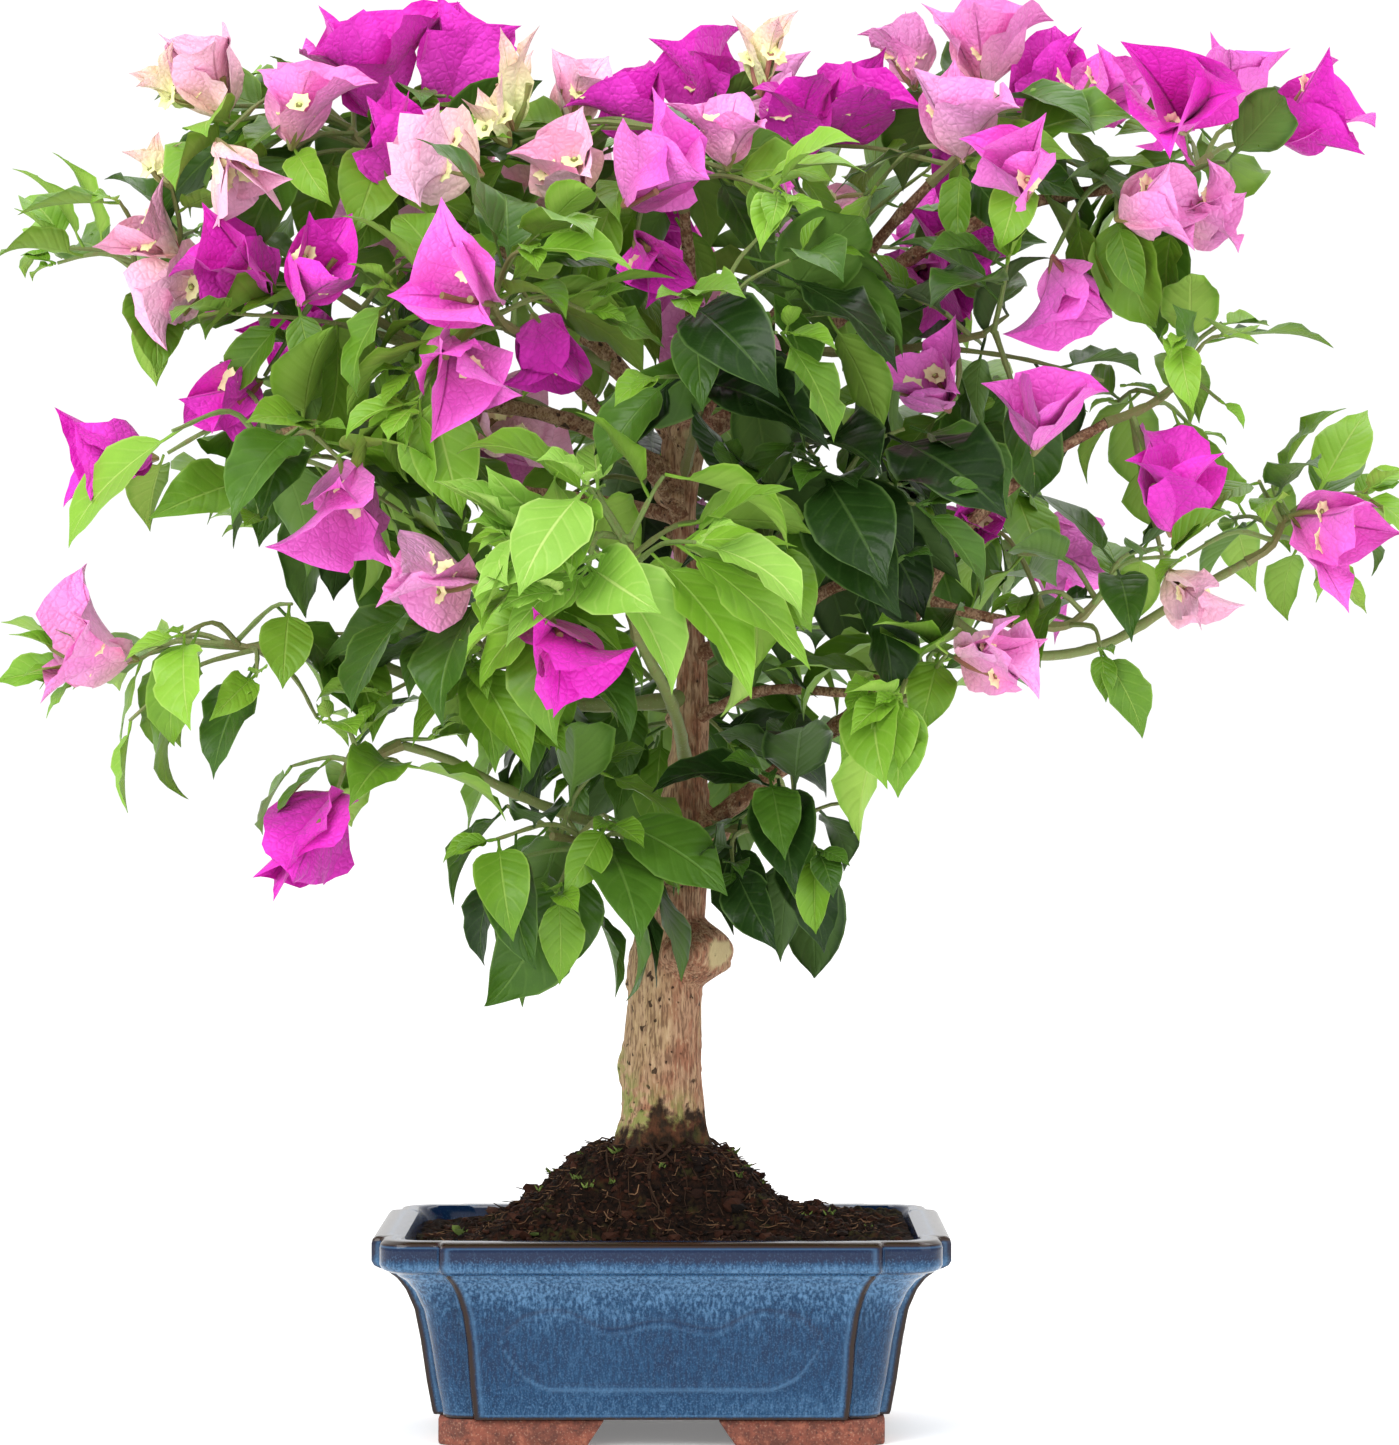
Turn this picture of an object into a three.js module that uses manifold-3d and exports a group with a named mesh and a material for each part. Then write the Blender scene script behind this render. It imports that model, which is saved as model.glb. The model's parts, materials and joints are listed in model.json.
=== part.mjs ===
// Bougainvillea trained as a bonsai tree, in a blue-glazed rectangular pot on four clay feet.
// Millimetres, +Z up, +X to the right, and the viewer stands on the -Y side. Everything is
// placed about the foot of the trunk, which stands at X 0, Y 0, and the whole group is moved
// at the end, so that the origin is the middle of its footprint, under the feet.

import * as THREE from 'three';
import { mergeVertices } from 'three/addons/utils/BufferGeometryUtils.js';
import Module from 'manifold-3d';

const wasm = await Module();
wasm.setup();

// Clearance between neighbouring solids, the smallest detail that is kept where solids are
// joined, the grid that corners lie on, and how near two corners are the same one.
const GAP = 0.3;
const FINENESS = [0.03, 0.02, 0.01];
const GRID = 0.002;
const WELD = 1e-4;

// Random sequences start from the seed and differ from mass to mass.
const SEED = 4100;
const SEED_STEP = 97;
const GOLDEN_ANGLE = 2.39996;

// Pot: half lengths are measured to the long panels' ends, half depths are less by one amount.
const FOOT_HEIGHT = 9.6;
const POT_BOTTOM = FOOT_HEIGHT + GAP;
const POT_HEIGHT = 73;
const POT_LONGER = 25;
const RIM_HALF = 100.5;
const RIM_UNDER = 62.1;
const FLOOR_TOP = 16;
const CORNER_STEP = 3.6;
const CORNER_ROUND = 9;
const STEP_SLOPE = 0.8;

// Outside of the pot from the underside to the rim: height, half length, length of the corner.
const POT_OUTSIDE = [
  [POT_BOTTOM, 79.2, 15.2],
  [36, 83.9, 17.4],
  [48, 86.3, 18.2],
  [56, 90.4, 19.6],
  [61, 95.4, 21.4],
  [RIM_UNDER, 99.2, 24],
  [64, RIM_HALF, 25],
  [71, RIM_HALF, 25],
  [72.6, 99.5, 24.4],
  [POT_HEIGHT, 98, 23.6],
];

// Inside of the pot from the rim to the floor, with plain rounded corners.
const POT_INSIDE = [
  [POT_HEIGHT, 90.2, 20],
  [71.4, 88.6, 19],
  [52, 82.4, 16.4],
  [24, 77.2, 15],
  [FLOOR_TOP, 73, 14],
];

// Feet: each is an L under a corner, with ends that slant in toward the ground.
const FOOT_OUT = 77.6;
const FOOT_WIDTH = 12;
const FOOT_LONG = 58;
const FOOT_SHORT = 38;
const FOOT_CHAMFER = 9;
const FOOT_SLANT = 6.5;

// Soil: its edge lies a little under the rim, and it rises to a flat seat under the trunk.
const SEAT_HEIGHT = 100;
const SEAT_RADIUS = 22;
const SOIL_EDGE_LEFT = 69;
const SOIL_EDGE_RIGHT = 73;
const SOIL_SWELL = 1.5;
const SOIL_WALL = [FLOOR_TOP + GAP, 24 + GAP, 52];
const SOIL_RINGS = [0.25, 0.5, 0.76, 1];

// Trunk: stations of height, sideways shift and radius from the soil to the fork.
const TRUNK_SIDES = 10;
const TRUNK_STATIONS = [
  [100, 0, 17.4],
  [108, 0, 15.6],
  [120, 0, 14.8],
  [134, 0, 14.4],
  [150, 0.6, 14],
  [166, 1.2, 13.6],
  [182, 2.8, 13],
  [196, 4.5, 12.2],
  [212, 6.8, 10.4],
  [228, 8.2, 8],
  [246, 10, 6.8],
  [264, 11.2, 6],
  [290, 9.6, 5],
  [315, 8, 4.3],
  [335, 7, 4.3],
  [350, 7.5, 5.2],
];
const FLARE = 0.16;
const FLARE_HEIGHT = 16;
const FLARE_ROOTS = 3;
const FLARE_TURN = 0.4;

// Swelling at the fork, a ball that is stretched and a little lumpy.
const BURL = { radius: 9.2, height: 349, stretch: [1.08, 0.94, 1.02], lump: 0.1, pace: 0.55 };

// Pruned knobs on the trunk: height, turn about the trunk, length from its middle, radii.
const KNOBS = [
  { height: 173, turn: -0.25, length: 21.6, base: 8.2, tip: 5.6 },
  { height: 211, turn: 0.2, length: 16.6, base: 7, tip: 5.2 },
  { height: 128, turn: 2.7, length: 17.4, base: 7, tip: 4.4 },
  { height: 331, turn: 3.5, length: 9.4, base: 3.8, tip: 3 },
];

const KNOB_SIDES = 7;
const KNOB_LIFT = 0.16;
const LIMB_SIDES = 5;
const LIMB_STEP = 29;

// Boughs: the limb each one leaves, how far along that limb, the points it passes, and its
// radius at both ends. Each ends where it enters its mass of foliage.
const BOUGHS = [
  { name: 'left_out', from: 'trunk', at: 0.955, base: 3.2, tip: 1.9,
    via: [[-36, -20, 358], [-77, -35, 362], [-115, -42, 355], [-132, -44, 351]] },
  { name: 'top_left', from: 'trunk', at: 1, base: 3.6, tip: 2,
    via: [[-34, 0, 398], [-62, -6, 424], [-90, -8, 444]] },
  { name: 'top_mid', from: 'trunk', at: 1, base: 3.2, tip: 1.9,
    via: [[11, -10, 390], [8, -28, 430]] },
  { name: 'right_top', from: 'trunk', at: 1, base: 3.8, tip: 1.9,
    via: [[35, 5, 368], [56, 0, 389], [90, -5, 417], [128, -10, 434], [162, -15, 440]] },
  { name: 'back_top_left', from: 'trunk', at: 1, base: 2.8, tip: 1.8,
    via: [[-12, 22, 372], [-36, 48, 398]] },
  { name: 'back_top_right', from: 'trunk', at: 1, base: 2.8, tip: 1.8,
    via: [[22, 24, 374], [42, 50, 402]] },
  { name: 'far_left', from: 'top_left', at: 0.28, base: 2.2, tip: 1.6,
    via: [[-69, 22, 398], [-119, 12, 414], [-152, -2, 415]] },
  { name: 'top_right', from: 'right_top', at: 0.36, base: 2.4, tip: 1.8,
    via: [[74, -12, 418], [94, -24, 440]] },
  { name: 'star', from: 'trunk', at: 0.9, base: 2.4, tip: 1.7,
    via: [[-18, -38, 356], [-46, -78, 382]] },
  { name: 'left_low', from: 'trunk', at: 0.64, base: 2.8, tip: 1.7,
    via: [[-30, -18, 257], [-81, -34, 265], [-104, -38, 273], [-128, -40, 278]] },
  { name: 'low_bloom', from: 'trunk', at: 0.45, base: 2.2, tip: 1.6,
    via: [[-22, -18, 215], [-49, -34, 225], [-77, -44, 239], [-90, -47, 243]] },
  { name: 'right_shoot', from: 'trunk', at: 0.43, base: 3.4, tip: 1.8,
    via: [[49, -10, 240], [73, -16, 260], [89, -20, 289], [106, -24, 318], [139, -24, 346],
      [156, -22, 356]] },
  { name: 'right_lower', from: 'trunk', at: 0.7, base: 2.6, tip: 1.7,
    via: [[45, -15, 289], [62, -20, 299], [80, -24, 299], [98, -26, 292], [126, -24, 285]] },
  { name: 'far_right', from: 'right_lower', at: 0.72, base: 2, tip: 1.5,
    via: [[122, -10, 276], [156, 6, 278], [190, 4, 298], [208, 2, 308]] },
  { name: 'right_low', from: 'trunk', at: 0.61, base: 2.2, tip: 1.6,
    via: [[36, -26, 262], [66, -46, 261]] },
  { name: 'front', from: 'trunk', at: 0.54, base: 2.4, tip: 1.7,
    via: [[4, -44, 256], [-8, -86, 280]] },
  { name: 'back_left', from: 'trunk', at: 0.9, base: 2.8, tip: 1.7,
    via: [[-32, 30, 332], [-76, 56, 338]] },
  { name: 'back_mid', from: 'trunk', at: 0.8, base: 2.6, tip: 1.7,
    via: [[6, 34, 312], [-4, 74, 334]] },
  { name: 'back_right', from: 'trunk', at: 0.74, base: 2.8, tip: 1.7,
    via: [[34, 32, 302], [68, 62, 334]] },
];

// Masses of foliage: the limb that carries each one and how far along it, the middle, the
// reach to the sides, in depth and upward, the number of shoots and of blooms, how far the
// leaves hang, and the leaf length.
const MASSES = [
  { name: 'top_left', from: 'top_left', at: 1, middle: [-112, -6, 456], reach: [94, 60, 52],
    shoots: 10, blooms: 8, hang: 0.2, leaf: 42 },
  { name: 'crest', from: 'top_mid', at: 1, middle: [-4, -38, 452], reach: [82, 62, 56],
    shoots: 9, blooms: 6, hang: 0.3, leaf: 46 },
  { name: 'top_right', from: 'top_right', at: 1, middle: [114, -28, 458], reach: [60, 60, 52],
    shoots: 7, blooms: 5, hang: 0.3, leaf: 46 },
  { name: 'right_top', from: 'right_top', at: 1, middle: [194, -14, 444], reach: [60, 54, 54],
    shoots: 6, blooms: 4, hang: 0.5, leaf: 50 },
  { name: 'far_left', from: 'far_left', at: 1, middle: [-190, -6, 406], reach: [54, 50, 46],
    shoots: 4, blooms: 1, hang: 0.6, leaf: 48 },
  { name: 'left_bloom', from: 'left_out', at: 0.32, middle: [-122, -50, 398], reach: [58, 56, 48],
    shoots: 7, blooms: 4, hang: 0.6, leaf: 48 },
  { name: 'left_star', from: 'star', at: 1, middle: [-58, -102, 386], reach: [60, 58, 56],
    shoots: 7, blooms: 4, hang: 0.6, leaf: 48 },
  { name: 'high_front', from: 'trunk', at: 0.95, middle: [20, -92, 386], reach: [60, 58, 58],
    shoots: 7, blooms: 1, hang: 0.9, leaf: 56 },
  { name: 'left_out', from: 'left_out', at: 1, middle: [-136, -54, 338], reach: [86, 60, 52],
    shoots: 7, blooms: 4, hang: 0.8, leaf: 55 },
  { name: 'left_low', from: 'left_low', at: 1, middle: [-152, -38, 272], reach: [76, 52, 46],
    shoots: 6, blooms: 1, hang: 1, leaf: 48 },
  { name: 'low_bloom', from: 'low_bloom', at: 1, middle: [-106, -50, 226], reach: [54, 48, 38],
    shoots: 4, blooms: 2, hang: 0.4, leaf: 38 },
  { name: 'mid_left', from: 'left_low', at: 0.5, middle: [-60, -58, 272], reach: [54, 54, 50],
    shoots: 6, blooms: 1, hang: 0.9, leaf: 48 },
  { name: 'front', from: 'front', at: 1, middle: [-10, -114, 306], reach: [64, 60, 60],
    shoots: 7, blooms: 2, hang: 0.9, leaf: 56 },
  { name: 'bottom_left', from: 'trunk', at: 0.44, middle: [-38, -46, 204], reach: [54, 52, 52],
    shoots: 6, blooms: 0, hang: 1, leaf: 54 },
  { name: 'bottom_right', from: 'trunk', at: 0.47, middle: [50, -32, 208], reach: [54, 52, 48],
    shoots: 5, blooms: 0, hang: 1, leaf: 54 },
  { name: 'right_low', from: 'right_low', at: 1, middle: [94, -58, 256], reach: [54, 52, 48],
    shoots: 5, blooms: 1, hang: 0.9, leaf: 50 },
  { name: 'core', from: 'trunk', at: 0.8, middle: [64, -60, 322], reach: [66, 64, 66],
    shoots: 8, blooms: 0, hang: 0.9, leaf: 58 },
  { name: 'right_mid', from: 'right_top', at: 0.3, middle: [120, -34, 380], reach: [64, 58, 56],
    shoots: 6, blooms: 3, hang: 0.8, leaf: 55 },
  { name: 'right_shoot', from: 'right_shoot', at: 1, middle: [184, -14, 366], reach: [50, 50, 48],
    shoots: 5, blooms: 2, hang: 0.6, leaf: 46 },
  { name: 'right_lower', from: 'right_lower', at: 1, middle: [156, -20, 290], reach: [56, 52, 50],
    shoots: 5, blooms: 0, hang: 0.9, leaf: 48 },
  { name: 'far_right', from: 'far_right', at: 1, middle: [222, 2, 318], reach: [52, 48, 46],
    shoots: 5, blooms: 3, hang: 0.5, leaf: 42 },
  { name: 'back_top_left', from: 'back_top_left', at: 1, middle: [-58, 74, 420],
    reach: [68, 64, 64], shoots: 6, blooms: 4, hang: 0.4, leaf: 52 },
  { name: 'back_top_right', from: 'back_top_right', at: 1, middle: [66, 74, 424],
    reach: [68, 64, 64], shoots: 6, blooms: 4, hang: 0.4, leaf: 52 },
  { name: 'back_left', from: 'back_left', at: 1, middle: [-114, 72, 340], reach: [68, 62, 62],
    shoots: 6, blooms: 1, hang: 0.8, leaf: 57 },
  { name: 'back_mid', from: 'back_mid', at: 1, middle: [-8, 100, 342], reach: [64, 60, 62],
    shoots: 6, blooms: 1, hang: 0.8, leaf: 57 },
  { name: 'back_right', from: 'back_right', at: 1, middle: [98, 84, 344], reach: [66, 62, 62],
    shoots: 6, blooms: 1, hang: 0.8, leaf: 57 },
  { name: 'back_low', from: 'trunk', at: 0.58, middle: [0, 74, 256], reach: [86, 60, 58],
    shoots: 7, blooms: 0, hang: 1, leaf: 54 },
];

// Stem of a mass: its radii, how far the curve runs straight before it bends to the head,
// how much it follows its bough, and how high over the middle its head lies.
const STEM = { base: 2.2, tip: 1.7, sides: 4, lead: 0.4, follow: 0.2, head: 0.14, step: 40 };

// Shoots of a mass: radii, where the first leaves the stem and how far down the last does,
// the rise of the first and its fall to the last, the random share of turn and rise, length
// as a share of the room, and the shortening at each new try.
const SHOOT = {
  base: 1.25, tip: 0.9, sides: 3, high: 0.97, spread: 0.5, rise: 0.9, fall: 1.5,
  turn: 0.7, jitter: 0.2, share: 0.38, extra: 0.12, tries: 4, shorten: 0.8,
};

// Shares of a shoot that must lie in the space of its mass.
const SHOOT_POINTS = [0.4, 0.7, 1];

// Blades as shares of their length: half width, keel, place of the widest part, droop, and
// the least share of the wanted length. A blade's foot is sunk to the middle of its twig,
// and the part beyond the free share crosses nothing.
const LEAF = { width: 0.3, keel: 0.045, widest: 0.42, droop: 0.14, least: 0.62 };
const BRACT = { width: 0.36, keel: 0.045, widest: 0.5, droop: -0.06, least: 0.72 };
const BLADE_FREE = 0.06;
const BLADE_SHRINK = 0.88;
const BLADE_ROOM = 0.98;

// Leaves along a shoot: spacing, place of the last and run of the rest toward the stem, least
// and random share of the length and of the hang, how far they lean forward and outward, and
// the turn at each new try.
const LEAVES = {
  step: 15, high: 0.8, spread: 0.66, least: 0.85, vary: 0.3, hang: 0.5, sag: 0.9,
  forward: 0.45, outward: 0.4, turn: 0.9, tries: 7, facing: [0.6, 0.8],
};

// Blooms of three bracts at the ends of shoots: length, spacing along the shoot, how far the
// axis turns outward and up, the rise of the bracts, and the closing and turn at each new try.
const BLOOM = {
  bracts: 3, length: 40, least: 0.92, vary: 0.16, step: 2.2, first: 0.6, outward: 0.6,
  lift: 0.3, rise: 0.6, close: 0.07, turn: 0.35, tries: 10,
};

const UP = new THREE.Vector3(0, 0, 1);
const vector = ([x, y, z]) => new THREE.Vector3(x, y, z);

// Numbers from 0 to 1 in a fixed sequence.
function seeded(seed) {
  let state = seed >>> 0;
  return () => {
    state = (state + 0x6D2B79F5) >>> 0;
    let mix = Math.imul(state ^ (state >>> 15), 1 | state);
    mix = (mix + Math.imul(mix ^ (mix >>> 7), 61 | mix)) ^ mix;
    return ((mix ^ (mix >>> 14)) >>> 0) / 4294967296;
  };
}

// A closed geometry as a solid that can be joined and cut.
function toSolid(geometry) {
  geometry.deleteAttribute('normal');
  geometry.deleteAttribute('uv');
  const welded = mergeVertices(geometry, WELD);
  return new wasm.Manifold(new wasm.Mesh({
    numProp: 3,
    vertProperties: Float32Array.from(welded.getAttribute('position').array),
    triVerts: Uint32Array.from(welded.getIndex().array),
  }));
}

function toGeometry(solid) {
  const { vertProperties, triVerts } = solid.getMesh();
  const geometry = new THREE.BufferGeometry();
  geometry.setAttribute('position', new THREE.BufferAttribute(vertProperties, 3));
  geometry.setIndex(new THREE.BufferAttribute(triVerts, 1));
  geometry.computeVertexNormals();
  return geometry;
}

// A joined solid with its corners on a fine grid and its collapsed triangles dropped, or null
// where that would open it.
function settled(solid) {
  const { vertProperties, triVerts } = solid.getMesh();
  const numbers = new Map();
  const corners = [];
  const renamed = Array.from({ length: vertProperties.length / 3 }, (_, index) => {
    const point = [0, 1, 2].map((axis) => Math.round(vertProperties[3 * index + axis] / GRID));
    const key = point.join();
    if (!numbers.has(key)) {
      numbers.set(key, corners.length / 3);
      corners.push(...point.map((value) => value * GRID));
    }
    return numbers.get(key);
  });
  const faces = [];
  const edges = new Map();
  for (let i = 0; i < triVerts.length; i += 3) {
    const face = [0, 1, 2].map((k) => renamed[triVerts[i + k]]);
    if (new Set(face).size < 3) continue;
    faces.push(...face);
    face.forEach((from, k) => {
      const key = `${from} ${face[(k + 1) % 3]}`;
      edges.set(key, (edges.get(key) ?? 0) + 1);
    });
  }
  const closed = [...edges].every(([key, count]) => (
    count === 1 && edges.get(key.split(' ').reverse().join(' ')) === 1
  ));
  if (!closed) return null;
  return new wasm.Manifold(new wasm.Mesh({
    numProp: 3,
    vertProperties: Float32Array.from(corners),
    triVerts: Uint32Array.from(faces),
  }));
}

// The largest piece of a solid, without loose scraps.
function largest(solid) {
  return solid.decompose().sort((a, b) => b.volume() - a.volume())[0];
}

// A joined solid in one piece, with the least detail that still leaves it closed.
function finished(solid) {
  const whole = settled(largest(solid));
  const simpler = FINENESS.map((fineness) => settled(whole.simplify(fineness)));
  return simpler.find((one) => one) ?? whole;
}

// A closed skin over rings of points. Each ring goes anticlockwise seen from the last one,
// a last ring of one point is a tip, and the foot is the point that closes the first ring.
function skin(rings, foot = middleOf(rings[0])) {
  const rows = rings.length - 1;
  const sides = rings[0].length;
  const pointed = rings[rows].length === 1;
  const geometry = new THREE.CylinderGeometry(pointed ? 0 : 1, 1, 1, sides, rows);
  const position = geometry.getAttribute('position');
  const corner = new THREE.Vector3();
  for (let i = 0; i < position.count; i += 1) {
    corner.fromBufferAttribute(position, i);
    const ring = rings[Math.round((corner.y + 0.5) * rows)];
    const side = Math.round(Math.atan2(corner.x, corner.z) / (2 * Math.PI) * sides);
    const central = Math.hypot(corner.x, corner.z) < WELD;
    const closing = corner.y < 0 ? foot : middleOf(ring);
    const point = central ? closing : ring[(side + sides) % sides];
    position.setXYZ(i, point.x, point.y, point.z);
  }
  return geometry;
}

function middleOf(points) {
  const sum = new THREE.Vector3();
  points.forEach((point) => sum.add(point));
  return sum.divideScalar(points.length);
}

// A round limb along a curve, its radius given by the share of the length. Grown by a
// clearance, it is the space that its neighbours keep out of.
function limbSkin(curve, radiusAt, sides, rows, grown = 0) {
  const { tangents, normals, binormals } = curve.computeFrenetFrames(rows, false);
  const rings = [];
  for (let row = 0; row <= rows; row += 1) {
    const share = row / rows;
    const end = row === rows ? grown : 0;
    const centre = curve.getPointAt(share).addScaledVector(tangents[row], end);
    const radius = radiusAt(share) + grown;
    rings.push(Array.from({ length: sides }, (_, side) => {
      const turn = 2 * Math.PI * side / sides;
      return centre.clone()
        .addScaledVector(normals[row], radius * Math.cos(turn))
        .addScaledVector(binormals[row], radius * Math.sin(turn));
    }));
  }
  return skin(rings);
}

// Plan of the pot at one height: straight panels with set-in, rounded corners between them.
function potRing(height, half, corner, step) {
  const deep = half - POT_LONGER;
  const arc = [0, 1, 2, 3].map((share) => {
    const turn = share * Math.PI / 6;
    return [
      half - step - CORNER_ROUND * (1 - Math.cos(turn)),
      deep - step - CORNER_ROUND * (1 - Math.sin(turn)),
    ];
  });
  const quarter = [
    [half, deep - corner],
    [half - step, deep - corner + STEP_SLOPE],
    ...arc,
    [half - corner + STEP_SLOPE, deep - step],
    [half - corner, deep],
  ];
  const mirrored = (signX, signY) => quarter.map(([x, y]) => [x * signX, y * signY]);
  return [
    ...mirrored(1, 1),
    ...mirrored(-1, 1).reverse(),
    ...mirrored(-1, -1),
    ...mirrored(1, -1).reverse(),
  ].map(([x, y]) => new THREE.Vector3(x, y, height));
}

function potShell() {
  return skin([
    ...POT_OUTSIDE.map(([height, half, corner]) => potRing(height, half, corner, CORNER_STEP)),
    ...POT_INSIDE.map(([height, half, corner]) => potRing(height, half, corner, 0)),
  ]);
}

// One foot at the corner on the given sides. The ends are drawn in at the ground.
function foot(signX, signY) {
  const deep = FOOT_OUT - POT_LONGER;
  const outline = [
    [FOOT_OUT - FOOT_CHAMFER, -deep],
    [FOOT_OUT, -deep + FOOT_CHAMFER],
    [FOOT_OUT, -deep + FOOT_SHORT],
    [FOOT_OUT - FOOT_WIDTH, -deep + FOOT_SHORT],
    [FOOT_OUT - FOOT_WIDTH, -deep + FOOT_WIDTH],
    [FOOT_OUT - FOOT_LONG, -deep + FOOT_WIDTH],
    [FOOT_OUT - FOOT_LONG, -deep],
  ];
  const placed = outline.map(([x, y]) => new THREE.Vector2(x * signX, -y * signY));
  const geometry = new THREE.ExtrudeGeometry(new THREE.Shape(placed), {
    depth: FOOT_HEIGHT,
    bevelEnabled: false,
  });
  const position = geometry.getAttribute('position');
  for (let i = 0; i < position.count; i += 1) {
    if (position.getZ(i) > 0) continue;
    const alongX = Math.abs(position.getX(i));
    const alongY = Math.abs(position.getY(i));
    if (alongX < FOOT_OUT - FOOT_LONG + 1) {
      position.setX(i, (alongX + FOOT_SLANT) * signX);
    }
    if (alongY < deep - FOOT_SHORT + 1) {
      position.setY(i, (alongY + FOOT_SLANT) * signY);
    }
  }
  return geometry;
}

// Half length of the pot's inside at one height.
function insideHalf(height) {
  const rows = POT_INSIDE.toReversed();
  const over = rows.findIndex(([level]) => level >= height);
  const [low, high] = [rows[over - 1], rows[over]];
  const share = (height - low[0]) / (high[0] - low[0]);
  return {
    half: low[1] + share * (high[1] - low[1]),
    corner: low[2] + share * (high[2] - low[2]),
  };
}

// The soil keeps off the pot by the clearance, and swells up to the trunk's seat.
function soilMound() {
  const wallRings = SOIL_WALL.map((height) => {
    const { half, corner } = insideHalf(height);
    return potRing(height, half - 2 * GAP, corner, 0);
  });
  const { half, corner } = insideHalf(SOIL_EDGE_LEFT);
  const edge = potRing(SOIL_EDGE_LEFT, half - 2 * GAP, corner, 0);
  edge.forEach((point) => {
    const share = (point.x + half) / (2 * half);
    point.z = THREE.MathUtils.lerp(SOIL_EDGE_LEFT, SOIL_EDGE_RIGHT, share);
  });
  const swell = SOIL_RINGS.map((share) => edge.map((point) => {
    const flat = new THREE.Vector2(point.x, point.y);
    const inner = flat.clone().setLength(SEAT_RADIUS);
    flat.lerp(inner, share);
    const rise = THREE.MathUtils.smoothstep(share ** SOIL_SWELL, 0, 1);
    const level = THREE.MathUtils.lerp(point.z, SEAT_HEIGHT - GAP, rise);
    return new THREE.Vector3(flat.x, flat.y, level);
  }));
  return skin([...wallRings, edge, ...swell]);
}

// Trunk and its place in the list of limbs, which boughs and stems look up by name.
const limbs = new Map();

function stationValue(share, column) {
  const scaled = share * (TRUNK_STATIONS.length - 1);
  const low = Math.min(Math.floor(scaled), TRUNK_STATIONS.length - 2);
  const [from, to] = [TRUNK_STATIONS[low][column], TRUNK_STATIONS[low + 1][column]];
  return THREE.MathUtils.lerp(from, to, scaled - low);
}

// The share of the stations at one height.
function shareAt(height) {
  const over = TRUNK_STATIONS.findIndex(([level]) => level > height);
  const low = TRUNK_STATIONS[over - 1];
  const high = TRUNK_STATIONS[over];
  const between = (height - low[0]) / (high[0] - low[0]);
  return (over - 1 + between) / (TRUNK_STATIONS.length - 1);
}

// The trunk's foot spreads in a few broad roots, more to the left.
function trunkSkin(grown) {
  const rings = [];
  for (let row = 0; row < TRUNK_STATIONS.length; row += 1) {
    const [height, shift, radius] = TRUNK_STATIONS[row];
    const low = Math.max(0, 1 - (height - SEAT_HEIGHT) / FLARE_HEIGHT);
    const level = row === TRUNK_STATIONS.length - 1 ? height + grown : height;
    rings.push(Array.from({ length: TRUNK_SIDES }, (_, side) => {
      const turn = 2 * Math.PI * side / TRUNK_SIDES;
      const lobes = Math.cos(FLARE_ROOTS * turn + FLARE_TURN) - Math.cos(turn);
      const roots = 1 + FLARE * low ** 2 * lobes;
      const wide = (radius + grown) * roots;
      return new THREE.Vector3(shift + wide * Math.cos(turn), wide * Math.sin(turn), level);
    }));
  }
  return skin(rings);
}

function knobSkin({ height, turn, length, base, tip }, grown) {
  const share = shareAt(height);
  const start = new THREE.Vector3(stationValue(share, 1), 0, height);
  const end = start.clone().add(new THREE.Vector3(
    length * Math.cos(turn),
    length * Math.sin(turn),
    length * KNOB_LIFT,
  ));
  const radiusAt = (part) => THREE.MathUtils.lerp(base, tip, part);
  return limbSkin(new THREE.LineCurve3(start, end), radiusAt, KNOB_SIDES, 1, grown);
}

function burlSkin(grown) {
  const ball = new THREE.IcosahedronGeometry(BURL.radius + grown, 1);
  ball.scale(...BURL.stretch);
  const position = ball.getAttribute('position');
  const corner = new THREE.Vector3();
  for (let i = 0; i < position.count; i += 1) {
    corner.fromBufferAttribute(position, i);
    const wave = Math.sin(corner.x * BURL.pace) * Math.cos(corner.z * BURL.pace);
    corner.multiplyScalar(1 + BURL.lump * wave);
    position.setXYZ(i, corner.x, corner.y, corner.z);
  }
  return ball.translate(stationValue(1, 1), 0, BURL.height);
}

function trunkSolid(grown) {
  return wasm.Manifold.union([
    toSolid(trunkSkin(grown)),
    toSolid(burlSkin(grown)),
    ...KNOBS.map((knob) => toSolid(knobSkin(knob, grown))),
  ]);
}

const trunkCurve = new THREE.CatmullRomCurve3(
  TRUNK_STATIONS.map(([height, shift]) => new THREE.Vector3(shift, 0, height)),
);
limbs.set('trunk', {
  curve: trunkCurve,
  solid: finished(trunkSolid(0)),
  space: trunkSolid(GAP),
});

function boxesMeet(a, b) {
  return [0, 1, 2].every((axis) => a.min[axis] <= b.max[axis] && b.min[axis] <= a.max[axis]);
}

// True where a solid runs into one of the listed ones, which carry their boxes.
function hits(solid, others) {
  const box = solid.boundingBox();
  return others.some((other) => {
    if (!boxesMeet(box, other.box)) return false;
    const common = solid.intersect(other.solid);
    const touching = !common.isEmpty();
    common.delete();
    return touching;
  });
}

const boxed = (solid) => ({ solid, box: solid.boundingBox() });

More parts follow.
